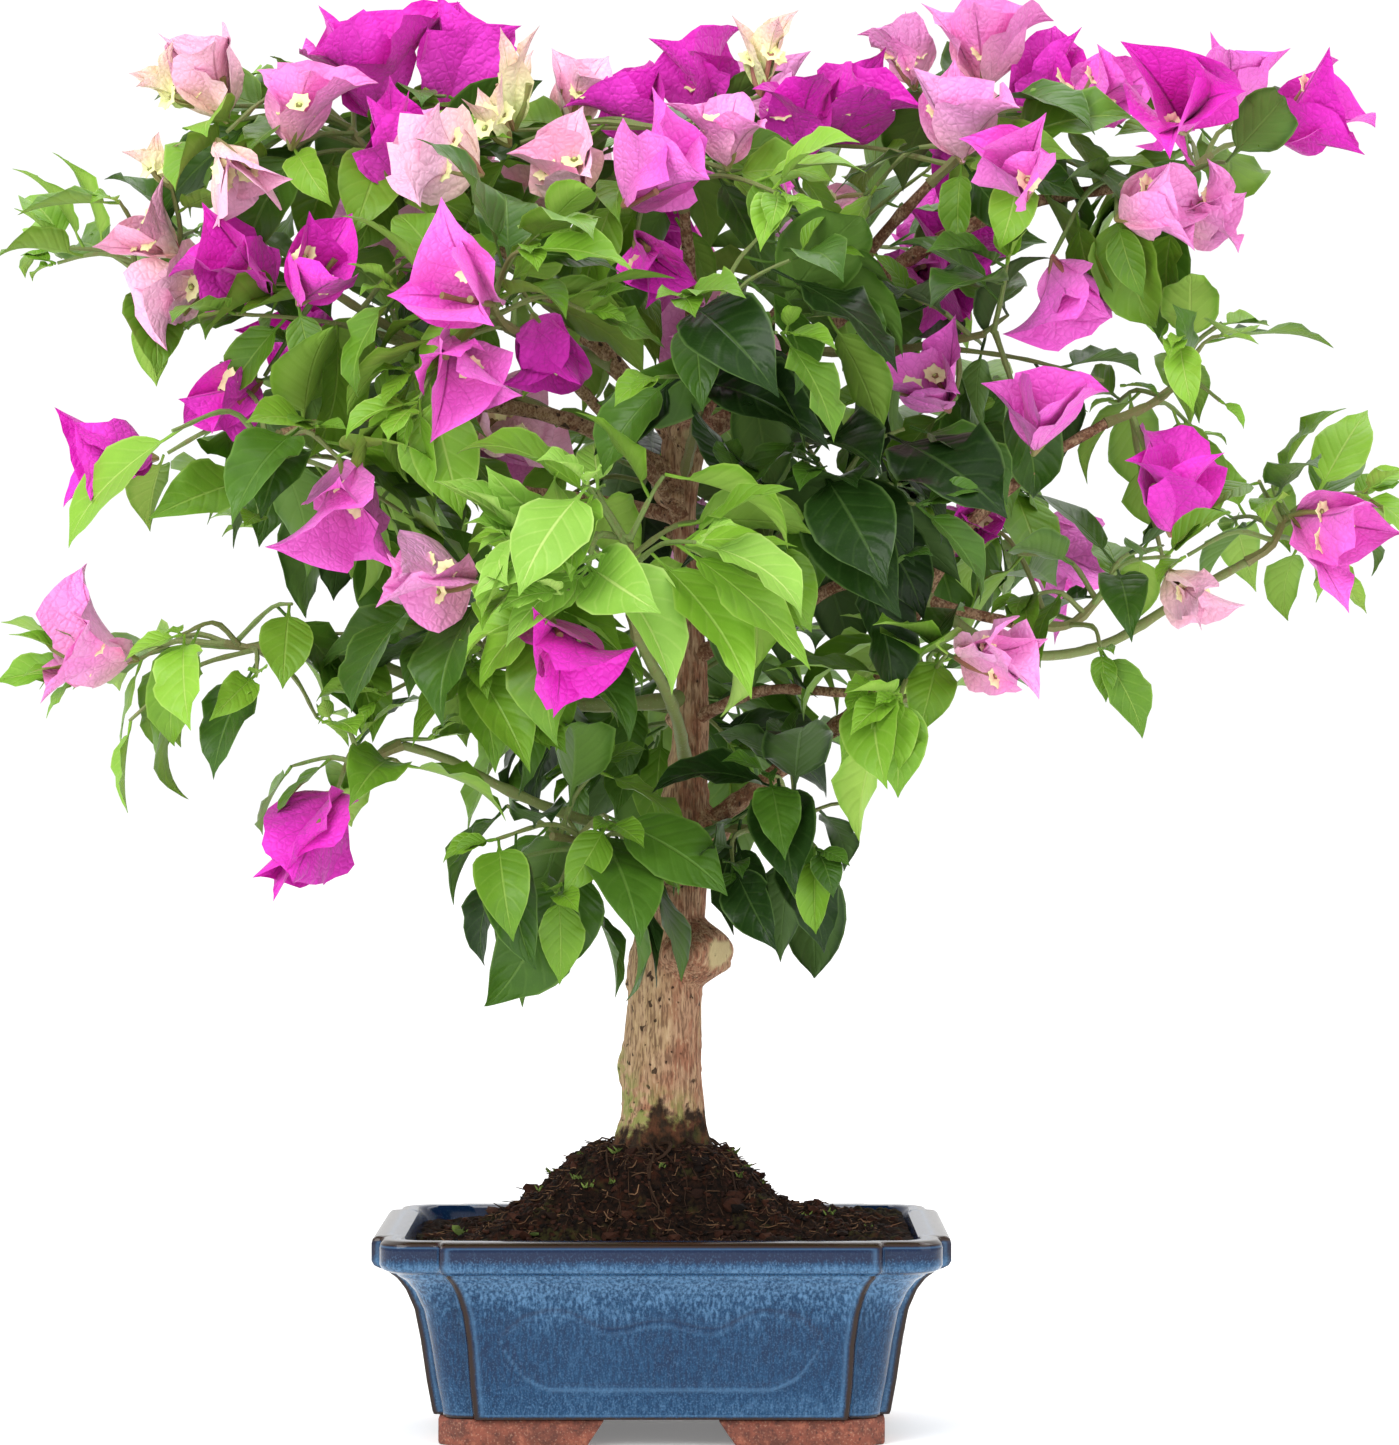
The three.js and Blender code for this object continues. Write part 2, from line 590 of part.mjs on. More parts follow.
// Boughs, each cut off short of the limb that carries it and of the earlier boughs.
for (const bough of BOUGHS) {
  const start = limbs.get(bough.from).curve.getPointAt(bough.at);
  const curve = new THREE.CatmullRomCurve3([start, ...bough.via.map(vector)], false, 'centripetal');
  const rows = Math.round(curve.getLength() / LIMB_STEP);
  const radiusAt = (share) => THREE.MathUtils.lerp(bough.base, bough.tip, share);
  let solid = toSolid(limbSkin(curve, radiusAt, LIMB_SIDES, rows));
  for (const limb of limbs.values()) solid = solid.subtract(limb.space);
  limbs.set(bough.name, {
    curve,
    solid: finished(solid),
    space: toSolid(limbSkin(curve, radiusAt, LIMB_SIDES, rows, GAP)),
  });
}

// One stem for each mass, from its limb to the upper part of the mass.
const stems = MASSES.map((mass) => {
  const limb = limbs.get(mass.from).curve;
  const start = limb.getPointAt(mass.at);
  const middle = vector(mass.middle);
  const onward = mass.at === 1 && mass.from !== 'trunk';
  const lead = start.clone().lerp(middle, STEM.lead);
  const follow = start.distanceTo(middle) * STEM.follow;
  if (onward) lead.addScaledVector(limb.getTangentAt(1), follow);
  const head = middle.clone().addScaledVector(UP, mass.reach[2] * STEM.head);
  const curve = new THREE.CatmullRomCurve3([start, lead, head], false, 'centripetal');
  const radiusAt = (share) => THREE.MathUtils.lerp(STEM.base, STEM.tip, share);
  const rows = Math.max(2, Math.round(curve.getLength() / STEM.step));
  return {
    curve,
    solid: toSolid(limbSkin(curve, radiusAt, STEM.sides, rows)),
    space: toSolid(limbSkin(curve, radiusAt, STEM.sides, rows, GAP)),
  };
});

// The space of a mass: an oval of its reach, cut by a plane to each other mass, which lies
// nearer to the smaller one. It tells how far there is room from a point in a direction.
function spaceOf(order) {
  const mass = MASSES[order];
  const middle = vector(mass.middle);
  const oval = vector(mass.reach);
  const size = (other) => other.reach[0] * other.reach[1];
  const planes = MASSES.filter((other) => other !== mass).map((other) => {
    const toward = vector(other.middle).sub(middle);
    const distance = toward.length();
    const share = (distance ** 2 + size(mass) - size(other)) / (2 * distance);
    return { normal: toward.divideScalar(distance), limit: share - GAP };
  });
  const inside = (point) => {
    const from = point.clone().sub(middle);
    return from.clone().divide(oval).length() <= 1
      && planes.every(({ normal, limit }) => from.dot(normal) <= limit);
  };
  const room = (point, along) => {
    const from = point.clone().sub(middle);
    const scaled = from.clone().divide(oval);
    const pace = along.clone().divide(oval);
    const [a, b, c] = [pace.lengthSq(), scaled.dot(pace), scaled.lengthSq() - 1];
    let least = (-b + Math.sqrt(Math.max(0, b * b - a * c))) / a;
    planes.forEach(({ normal, limit }) => {
      const closing = normal.dot(along);
      if (closing > 0) least = Math.min(least, (limit - normal.dot(from)) / closing);
    });
    return least;
  };
  return { inside, room };
}

// A blade from its root outward: a kite that is widest part way along, with a keel below
// and a tip that droops. A later start gives only its outer part.
function bladeParts(root, along, face, length, blade, start = 0) {
  const side = face.clone().cross(along);
  const lie = (share) => root.clone()
    .addScaledVector(along, length * share)
    .addScaledVector(face, -length * blade.droop * share ** 2);
  const broad = lie(blade.widest);
  const belt = [
    broad.clone().addScaledVector(side, length * blade.width),
    broad.clone().addScaledVector(side, -length * blade.width),
    broad.clone().addScaledVector(face, -length * blade.keel),
  ];
  return { belt, tip: lie(1), foot: lie(start) };
}

function bladeSolid(...sizes) {
  const { belt, tip, foot } = bladeParts(...sizes);
  return toSolid(skin([belt, [tip]], foot));
}

// Across a direction, the nearest direction to a wanted one.
function across(wanted, along) {
  return wanted.clone().addScaledVector(along, -wanted.dot(along)).normalize();
}

// One mass: shoots leave the stem at the golden angle, leaves leave the shoots at the same
// angle, and blooms of three bracts end the upper shoots. What would leave the mass's space,
// run into a limb or another stem, or cross an earlier blade is turned, and then left out.
function growMass(mass, order) {
  const random = seeded(SEED + SEED_STEP * order);
  const middle = vector(mass.middle);
  const { inside, room } = spaceOf(order);
  const stem = stems[order];
  const barriers = [
    ...[...limbs.values()].map((limb) => boxed(limb.space)),
    ...stems.filter((other) => other !== stem).map((other) => boxed(other.space)),
  ];
  const grown = [];
  const twigs = [stem.solid];
  const crossed = [boxed(stem.solid)];
  const shoots = [];

  for (let index = 0; index < mass.shoots; index += 1) {
    const part = (index + 0.5) / mass.shoots;
    const turn = index * GOLDEN_ANGLE + SHOOT.turn * random() + order;
    const rise = SHOOT.rise - SHOOT.fall * part + SHOOT.jitter * (random() - 0.5);
    const level = Math.sqrt(Math.max(0, 1 - rise ** 2));
    const out = new THREE.Vector3(level * Math.cos(turn), level * Math.sin(turn), rise);
    const start = stem.curve.getPointAt(SHOOT.high - SHOOT.spread * part);
    let reach = room(middle, out) * (SHOOT.share + SHOOT.extra * random());
    for (let attempt = 0; attempt < SHOOT.tries; attempt += 1, reach *= SHOOT.shorten) {
      const tip = middle.clone().addScaledVector(out, reach);
      const curve = new THREE.LineCurve3(start, tip);
      const radiusAt = (share) => THREE.MathUtils.lerp(SHOOT.base, SHOOT.tip, share);
      const solid = toSolid(limbSkin(curve, radiusAt, SHOOT.sides, 1));
      const free = SHOOT_POINTS.every((share) => inside(curve.getPointAt(share)));
      if (!free || hits(solid, barriers)) continue;
      shoots.push({ curve, out });
      twigs.push(solid);
      crossed.push(boxed(solid));
      break;
    }
  }

  const place = (frames, length, blade) => {
    const fits = frames.every(({ root, along, face }) => {
      const { belt, tip } = bladeParts(root, along, face, length, blade);
      return [...belt, tip].every(inside);
    });
    if (!fits) return false;
    const tests = frames.map(({ root, along, face }) => (
      bladeSolid(root, along, face, length, blade, BLADE_FREE)
    ));
    if (tests.some((test) => hits(test, barriers) || hits(test, crossed))) return false;
    grown.push(frames.map(({ root, along, face }) => (
      bladeSolid(root, along, face, length, blade)
    )));
    tests.forEach((test) => crossed.push(boxed(test)));
    return true;
  };

  // The longest blades of one kind that fit, down to its least share of the wanted length.
  const fit = (frames, wanted, blade) => {
    const rooms = frames.map(({ root, along }) => room(root, along));
    let length = Math.min(wanted, BLADE_ROOM * Math.min(...rooms));
    for (; length >= wanted * blade.least; length *= BLADE_SHRINK) {
      if (place(frames, length, blade)) return true;
    }
    return false;
  };

  let blooms = 0;
  shoots.forEach(({ curve, out }) => {
    const size = BLOOM.length * (BLOOM.least + BLOOM.vary * random());
    const spin = 2 * Math.PI * random();
    if (blooms >= mass.blooms) return;
    const roots = Array.from({ length: BLOOM.bracts }, (_, bract) => (
      curve.getPointAt(1 - BLOOM.step * (bract + BLOOM.first) / curve.getLength())
    ));
    const axis = curve.getTangentAt(1)
      .addScaledVector(out, BLOOM.outward)
      .addScaledVector(UP, BLOOM.lift)
      .normalize();
    const first = across(new THREE.Vector3(Math.cos(spin), Math.sin(spin), 0), axis);
    for (let attempt = 0; attempt < BLOOM.tries; attempt += 1) {
      const open = 1 - BLOOM.close * attempt;
      const frames = roots.map((root, bract) => {
        const turn = 2 * Math.PI * bract / BLOOM.bracts + BLOOM.turn * attempt;
        const away = first.clone().applyAxisAngle(axis, turn);
        const along = axis.clone()
          .multiplyScalar(BLOOM.rise)
          .addScaledVector(away, open)
          .normalize();
        return { root, along, face: across(axis, along) };
      });
      if (fit(frames, size, BRACT)) {
        blooms += 1;
        return;
      }
    }
  });

  shoots.forEach(({ curve }) => {
    const count = Math.max(2, Math.round(curve.getLength() / LEAVES.step));
    for (let node = 0; node < count; node += 1) {
      const share = LEAVES.high - LEAVES.spread * node / count;
      const size = mass.leaf * (LEAVES.least + LEAVES.vary * random());
      const first = node * GOLDEN_ANGLE + 2 * Math.PI * random();
      const hang = mass.hang * (LEAVES.hang + LEAVES.sag * random());
      const root = curve.getPointAt(share);
      const tangent = curve.getTangentAt(share);
      const level = across(UP, tangent);
      const beside = tangent.clone().cross(level);
      const outward = root.clone().sub(middle).normalize();
      const [facingOut, facingUp] = LEAVES.facing;
      const facing = outward.clone().multiplyScalar(facingOut).addScaledVector(UP, facingUp);
      for (let attempt = 0; attempt < LEAVES.tries; attempt += 1) {
        const turn = first + attempt * LEAVES.turn;
        const along = tangent.clone().multiplyScalar(LEAVES.forward)
          .addScaledVector(level, Math.cos(turn))
          .addScaledVector(beside, Math.sin(turn))
          .addScaledVector(outward, LEAVES.outward)
          .addScaledVector(UP, -hang)
          .normalize();
        if (fit([{ root, along, face: across(facing, along) }], size, LEAF)) break;
      }
    }
  });

  let solid = wasm.Manifold.union(twigs);
  for (const limb of limbs.values()) solid = solid.subtract(limb.space);
  solid = largest(solid);
  grown.forEach((blades) => {
    const joined = settled(wasm.Manifold.union([solid, ...blades]));
    if (joined) solid = joined;
  });
  return finished(solid);
}

// Colours of the pieces. A mass with many blooms shows as blossom, another as leaves.
const MOSTLY_BLOSSOM = 3;
const glaze = new THREE.MeshStandardMaterial({ color: 0x2c4a76, roughness: 0.15 });
const clay = new THREE.MeshStandardMaterial({ color: 0x7a4733, roughness: 0.6 });
const peat = new THREE.MeshStandardMaterial({ color: 0x2f2119, roughness: 0.95 });
const bark = new THREE.MeshStandardMaterial({ color: 0x86705c, roughness: 0.85 });
const leaves = new THREE.MeshStandardMaterial({ color: 0x3d6b2a, roughness: 0.4 });
const blossom = new THREE.MeshStandardMaterial({ color: 0xc23a8a, roughness: 0.55 });

const bonsai = new THREE.Group();

function addPiece(name, geometry, material) {
  const mesh = new THREE.Mesh(geometry, material);
  mesh.name = name;
  bonsai.add(mesh);
}

addPiece('pot', toGeometry(toSolid(potShell())), glaze);
addPiece('soil', toGeometry(toSolid(soilMound())), peat);
for (const [name, signX, signY] of [
  ['foot_front_left', -1, -1],
  ['foot_front_right', 1, -1],
  ['foot_back_left', -1, 1],
  ['foot_back_right', 1, 1],
]) {
  addPiece(name, foot(signX, signY), clay);
}
for (const [name, limb] of limbs) {
  addPiece(name === 'trunk' ? name : `bough_${name}`, toGeometry(limb.solid), bark);
}
MASSES.forEach((mass, order) => {
  const material = mass.blooms > MOSTLY_BLOSSOM ? blossom : leaves;
  addPiece(`foliage_${mass.name}`, toGeometry(growMass(mass, order)), material);
});

// The origin is the middle of the whole footprint.
const reach = new THREE.Box3().setFromObject(bonsai);
const centre = reach.getCenter(new THREE.Vector3());
bonsai.position.set(-centre.x, -centre.y, -reach.min.z);

export default bonsai;
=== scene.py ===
"""Looks of a bougainvillea bonsai in a blue-glazed pot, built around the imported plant.

Sizes are millimetres from the foot of the trunk on the ground plane, with +X to the right and the
viewer on the -Y side. Each mesh is written in metres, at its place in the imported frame.
"""

import json
import logging
import math
from contextlib import contextmanager
from dataclasses import dataclass, field, replace
from enum import Enum
from math import cos, pi, sin
from typing import Callable, Iterable, Iterator, Sequence

import bpy
import numpy as np
from bpy.types import Material, Mesh, Node, NodeSocket, Object
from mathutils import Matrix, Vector, noise
from numpy.linalg import norm

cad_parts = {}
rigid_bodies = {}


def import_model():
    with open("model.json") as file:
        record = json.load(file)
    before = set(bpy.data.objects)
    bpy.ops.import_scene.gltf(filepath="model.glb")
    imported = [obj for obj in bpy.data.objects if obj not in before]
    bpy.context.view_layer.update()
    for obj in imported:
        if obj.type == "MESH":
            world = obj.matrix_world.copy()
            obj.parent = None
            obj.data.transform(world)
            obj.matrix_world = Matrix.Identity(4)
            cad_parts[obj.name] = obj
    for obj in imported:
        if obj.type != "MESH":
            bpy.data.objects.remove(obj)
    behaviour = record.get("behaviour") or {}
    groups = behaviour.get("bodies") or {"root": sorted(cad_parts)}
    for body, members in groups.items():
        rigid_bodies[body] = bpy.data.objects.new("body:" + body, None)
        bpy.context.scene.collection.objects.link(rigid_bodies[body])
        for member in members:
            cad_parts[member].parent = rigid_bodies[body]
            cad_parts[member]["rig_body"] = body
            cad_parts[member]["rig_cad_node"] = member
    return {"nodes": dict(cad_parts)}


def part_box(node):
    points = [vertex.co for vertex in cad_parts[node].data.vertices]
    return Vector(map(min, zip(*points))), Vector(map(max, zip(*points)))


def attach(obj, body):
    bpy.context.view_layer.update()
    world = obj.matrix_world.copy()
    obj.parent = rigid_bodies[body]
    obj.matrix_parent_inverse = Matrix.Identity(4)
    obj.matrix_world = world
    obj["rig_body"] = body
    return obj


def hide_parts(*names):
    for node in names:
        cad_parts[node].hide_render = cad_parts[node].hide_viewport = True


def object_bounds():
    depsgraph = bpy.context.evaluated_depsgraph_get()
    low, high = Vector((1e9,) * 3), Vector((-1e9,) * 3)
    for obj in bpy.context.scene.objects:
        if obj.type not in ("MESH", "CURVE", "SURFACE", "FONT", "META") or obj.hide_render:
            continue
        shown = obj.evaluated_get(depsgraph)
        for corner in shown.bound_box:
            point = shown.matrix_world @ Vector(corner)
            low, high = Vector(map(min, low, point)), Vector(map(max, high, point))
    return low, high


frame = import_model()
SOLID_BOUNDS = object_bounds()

LOG = logging.getLogger("bonsai")
BODY = "root"
MM = 0.001
UP = np.array([0.0, 0.0, 1.0])
TURN = 2 * pi
GOLDEN_ANGLE = 2.39996

POT_LOW, POT_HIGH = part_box("pot")
HOME = Vector(((POT_LOW.x + POT_HIGH.x) / 2, (POT_LOW.y + POT_HIGH.y) / 2, 0.0))
CROWN_LOW = (np.array(SOLID_BOUNDS[0]) - np.array(HOME)) / MM
CROWN_HIGH = (np.array(SOLID_BOUNDS[1]) - np.array(HOME)) / MM

Array = np.ndarray
Triple = tuple[float, float, float]
Section = tuple[float, float, float, float]


def placed(x: float, y: float, z: float) -> Vector:
    """A point given in millimetres from the trunk's foot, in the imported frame."""
    return HOME + Vector((x, y, z)) * MM


def smoothstep(value: Array | float, low: float, high: float) -> Array | float:
    """A soft step from 0 at low to 1 at high."""
    share = np.clip((value - low) / (high - low), 0.0, 1.0)
    return share * share * (3 - 2 * share)


def unit(vector: Array) -> Array:
    """The same direction with length 1, for one vector or for rows of them."""
    length = norm(vector, axis=-1, keepdims=True)
    return vector / np.maximum(length, 1e-9)


def across(wanted: Array, along: Array) -> Array:
    """The direction nearest to a wanted one among those square to another."""
    return unit(wanted - np.dot(wanted, along) * along)


def turned(vector: Array, axis: Array, angle: float) -> Array:
    """A vector turned about an axis.

    Args:
        vector: The vector.
        axis: The axis, of length 1.
        angle: How far it turns, in radians.

    Returns:
        The turned vector.
    """
    return (
        vector * cos(angle)
        + np.cross(axis, vector) * sin(angle)
        + axis * np.dot(axis, vector) * (1 - cos(angle))
    )


class Draws:
    """Numbers from 0 to 1 in a fixed sequence, mixed from a 32-bit count."""

    STEP = 0x6D2B79F5
    MASK = 0xFFFFFFFF

    def __init__(self, seed: int) -> None:
        """Starts the sequence that belongs to a seed."""
        self.state = seed & self.MASK

    def __call__(self) -> float:
        """Draws the next number.

        Returns:
            A number from 0 up to 1.
        """
        self.state = (self.state + self.STEP) & self.MASK
        mix = ((self.state ^ (self.state >> 15)) * (1 | self.state)) & self.MASK
        mix = ((mix + ((mix ^ (mix >> 7)) * (61 | mix))) & self.MASK) ^ mix
        return ((mix ^ (mix >> 14)) & self.MASK) / (self.MASK + 1)

    def between(self, low: float, high: float) -> float:
        """A number from low to high."""
        return low + (high - low) * self()


def spline(points: Sequence[Sequence[float]], spacing: float) -> Array:
    """Points at even spacing on a smooth curve through the given ones.

    Args:
        points: The points that the curve passes.
        spacing: The wanted distance between two points of the result.

    Returns:
        The points, one row each, from the first given one to the last.
    """
    knots = [np.array(point, float) for point in points]
    if len(knots) == 2:
        path = np.linspace(knots[0], knots[1], 24)
    else:
        knots = [2 * knots[0] - knots[1], *knots, 2 * knots[-1] - knots[-2]]
        pieces = []
        for a, b, c, d in zip(knots, knots[1:], knots[2:], knots[3:]):
            times = np.cumsum(
                [0.0] + [math.sqrt(norm(q - p)) for p, q in ((a, b), (b, c), (c, d))]
            )
            t = np.linspace(times[1], times[2], 24)[:, None]

            def mid(p: Array, q: Array, i: int, j: int, t: Array = t, times: Array = times) -> Array:
                """A line from p at one knot's time to q at another's."""
                return ((times[j] - t) * p + (t - times[i]) * q) / (times[j] - times[i])

            ab, bc, cd = mid(a, b, 0, 1), mid(b, c, 1, 2), mid(c, d, 2, 3)
            pieces.append(mid(mid(ab, bc, 0, 2), mid(bc, cd, 1, 3), 1, 2))
        path = np.vstack([pieces[0], *(piece[1:] for piece in pieces[1:])])
    lengths = np.concatenate([[0.0], np.cumsum(norm(np.diff(path, axis=0), axis=1))])
    count = max(2, int(round(lengths[-1] / spacing)) + 1)
    wanted = np.linspace(0, lengths[-1], count)
    return np.stack([np.interp(wanted, lengths, path[:, axis]) for axis in range(3)], axis=1)


class Path:
    """A curve as closely spaced points, read by the share of its length."""

    def __init__(self, points: Sequence[Sequence[float]], spacing: float = 2.0) -> None:
        """Runs a smooth curve through some points."""
        self.points = spline(points, spacing)

    @property
    def length(self) -> float:
        """The length of the curve."""
        return float(norm(np.diff(self.points, axis=0), axis=1).sum())

    def at(self, share: float) -> Array:
        """The point at a share of the length."""
        scaled = min(max(share, 0.0), 1.0) * (len(self.points) - 1)
        low = min(int(scaled), len(self.points) - 2)
        return self.points[low] + (self.points[low + 1] - self.points[low]) * (scaled - low)

    def tangent(self, share: float) -> Array:
        """The direction of the curve at a share of the length."""
        scaled = min(max(share, 0.0), 1.0) * (len(self.points) - 1)
        low = min(int(scaled), len(self.points) - 2)
        return unit(self.points[low + 1] - self.points[low])


class Parts:
    """Many closed shapes that are written as one mesh."""

    def __init__(self) -> None:
        """Starts with no shapes."""
        self.corners: list[Array] = []
        self.marks: list[Array] = []
        self.faces: list[tuple[int, ...]] = []
        self.count = 0

    def add(self, corners: Array, faces: Iterable[Sequence[int]], mark: float = 0.5) -> None:
        """Adds one shape.

        Args:
            corners: Its points in millimetres.
            faces: Its faces as indices of those points.
            mark: A number that its material may read as the attribute mark.
        """
        start = self.count
        self.corners.append(corners)
        self.marks.append(np.full(len(corners), mark))
        self.faces.extend(tuple(index + start for index in face) for face in faces)
        self.count += len(corners)

    def tube(
        self,
        path: Array,
        radii: Array,
        sides: int,
        mark: float = 0.5,
        relief: Callable[[Array], float] | None = None,
    ) -> None:
        """Adds a round limb along a path, closed at both ends.

        Args:
            path: Points along its middle.
            radii: Its radius at each point.
            sides: Corners around it.
            mark: The number that its material may read.
            relief: How far a point of its skin stands out, or None for a smooth skin.
        """
        forward = unit(np.gradient(path, axis=0))
        side = across(np.array([0.31, 0.95, 0.12]), forward[0])
        rings = []
        for point, ahead, radius in zip(path, forward, radii):
            side = across(side, ahead)
            other = np.cross(ahead, side)
            turns = np.arange(sides) * TURN / sides
            skin = np.cos(turns)[:, None] * side + np.sin(turns)[:, None] * other
            ring = point + radius * skin
            if relief is not None:
                ring = ring + skin * np.array([[relief(corner)] for corner in ring])
            rings.append(ring)
        corners = np.vstack([*rings, path[0][None], path[-1][None]])
        rows = len(path)
        first, last = rows * sides, rows * sides + 1
        faces: list[tuple[int, ...]] = []
        for row in range(rows - 1):
            for k in range(sides):
                a, b = row * sides + k, row * sides + (k + 1) % sides
                faces.append((a, b, b + sides, a + sides))
        for k in range(sides):
            following = (k + 1) % sides
            faces.append((first, following, k))
            faces.append((last, last - 1 - sides + k, last - 1 - sides + following))
        self.add(corners, faces, mark)

    def __len__(self) -> int:
        """The number of shapes."""
        return len(self.corners)

    def make(self, name: str, sharp_angle: float = 50.0) -> Object:
        """Writes the shapes as one object.

        Args:
            name: The object's name.
            sharp_angle: Edges that turn more than this many degrees stay sharp.

        Returns:
            The object, with its place in its mesh.
        """
        mesh = bpy.data.meshes.new(name)
        corners = np.vstack(self.corners) * MM + np.array(HOME)
        mesh.from_pydata(corners.tolist(), [], self.faces)
        mark_points(mesh, mark=np.concatenate(self.marks))
        return shown(name, mesh, sharp_angle)


def shown(name: str, mesh: Mesh, sharp_angle: float) -> Object:
    """Links a mesh as a new object with smooth shading.

    Args:
        name: The object's name.
        mesh: Its finished mesh.
        sharp_angle: Edges that turn more than this many degrees stay sharp.

    Returns:
        The new object.
    """
    mesh.validate()
    mesh.shade_smooth()
    mesh.set_sharp_from_angle(angle=math.radians(sharp_angle))
    piece = bpy.data.objects.new(name, mesh)
    bpy.context.scene.collection.objects.link(piece)
    return piece


def mark_points(mesh: Mesh, **marks: Array) -> None:
    """Stores a number for each point of a mesh under each name, for its material to read."""
    for name, values in marks.items():
        layer = mesh.attributes.new(name, "FLOAT", "POINT")
        layer.data.foreach_set("value", values.astype(np.float32))


def deselect() -> None:
    """Deselects every object."""
    bpy.ops.object.select_all(action="DESELECT")


def select_only(piece: Object) -> None:
    """Deselects everything and makes one object the active one."""
    deselect()
    piece.select_set(True)
    bpy.context.view_layer.objects.active = piece


@contextmanager
def editing(piece: Object) -> Iterator[None]:
    """Holds one object in edit mode, with its whole mesh selected at the start.

    Args:
        piece: The object.

    Yields:
        Nothing.
    """
    select_only(piece)
    bpy.ops.object.mode_set(mode="EDIT")
    bpy.ops.mesh.select_all(action="SELECT")
    yield
    bpy.ops.object.mode_set(mode="OBJECT")


def face_outward(piece: Object) -> None:
    """Makes the faces of a closed piece point outward."""
    with editing(piece):
        bpy.ops.mesh.normals_make_consistent(inside=False)


def settle(piece: Object, name: str, sharp_angle: float = 50.0) -> Object:
    """Moves a modelled object's place into its mesh and gives it smooth shading.

    Args:
        piece: The object as modelled.
        name: Its final name.
        sharp_angle: Edges that turn more than this many degrees stay sharp.

    Returns:
        The same object.
    """
    select_only(piece)
    bpy.ops.object.transform_apply(location=True, rotation=True, scale=True)
    bpy.ops.object.shade_smooth_by_angle(angle=math.radians(sharp_angle))
    piece.name = name
    piece.data.name = name
    return piece


def finish_piece(piece: Object, replaced: Iterable[str] = ()) -> None:
    """Ties a piece to the plant's body and hides the solids it stands for.

    Args:
        piece: The finished object.
        replaced: The names of those solids.
    """
    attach(piece, BODY)
    names = list(replaced)
    if names:
        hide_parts(*names)


def math_node(operation: str, reflected: bool = False) -> "Callable[[Value, Value | float], Value]":
    """Makes an operator of Value that adds a Math node.

    Args:
        operation: The node's operation.
        reflected: True for an operator that finds its Value on the right.

    Returns:
        The operator.
    """

    def method(self: "Value", other: "Value | float") -> "Value":
        """The Math node's result."""
        return self.math(operation, *((other, self) if reflected else (self, other)))

    return method


class Value:
    """A socket in a material. Arithmetic on it adds Math nodes."""

    def __init__(self, paint: "Paint", socket: NodeSocket) -> None:
        """Wraps a socket of a material."""
        self.paint = paint
        self.socket = socket

    def math(self, operation: str, *values: "Value | float") -> "Value":
        """A Math node's result for some values."""
        return self.paint.node("ShaderNodeMath", {"operation": operation}, dict(enumerate(values)))

    __add__, __radd__ = math_node("ADD"), math_node("ADD", True)
    __sub__, __rsub__ = math_node("SUBTRACT"), math_node("SUBTRACT", True)
    __mul__, __rmul__ = math_node("MULTIPLY"), math_node("MULTIPLY", True)

    def __abs__(self) -> "Value":
        """The value without its sign."""
        return self.math("ABSOLUTE", self)

    def part(self) -> "Value":
        """What is left after the whole number."""
        return self.math("FRACT", self)

    def step(self, low: float, high: float) -> "Value":
        """A soft step, upward from low to high, or downward where high is the lower one.

        Args:
            low: Where it is 0.
            high: Where it is 1.

        Returns:
            The step's value.
        """
        if high < low:
            return 1 - self.step(high, low)
        settings = {"interpolation_type": "SMOOTHSTEP"}
        return self.paint.node("ShaderNodeMapRange", settings, {0: self, 1: low, 2: high})

    def split(self) -> tuple["Value", "Value", "Value"]:
        """The three numbers of a vector."""
        node = self.paint.add("ShaderNodeSeparateXYZ", {}, {0: self})
        return tuple(Value(self.paint, output) for output in node.outputs)


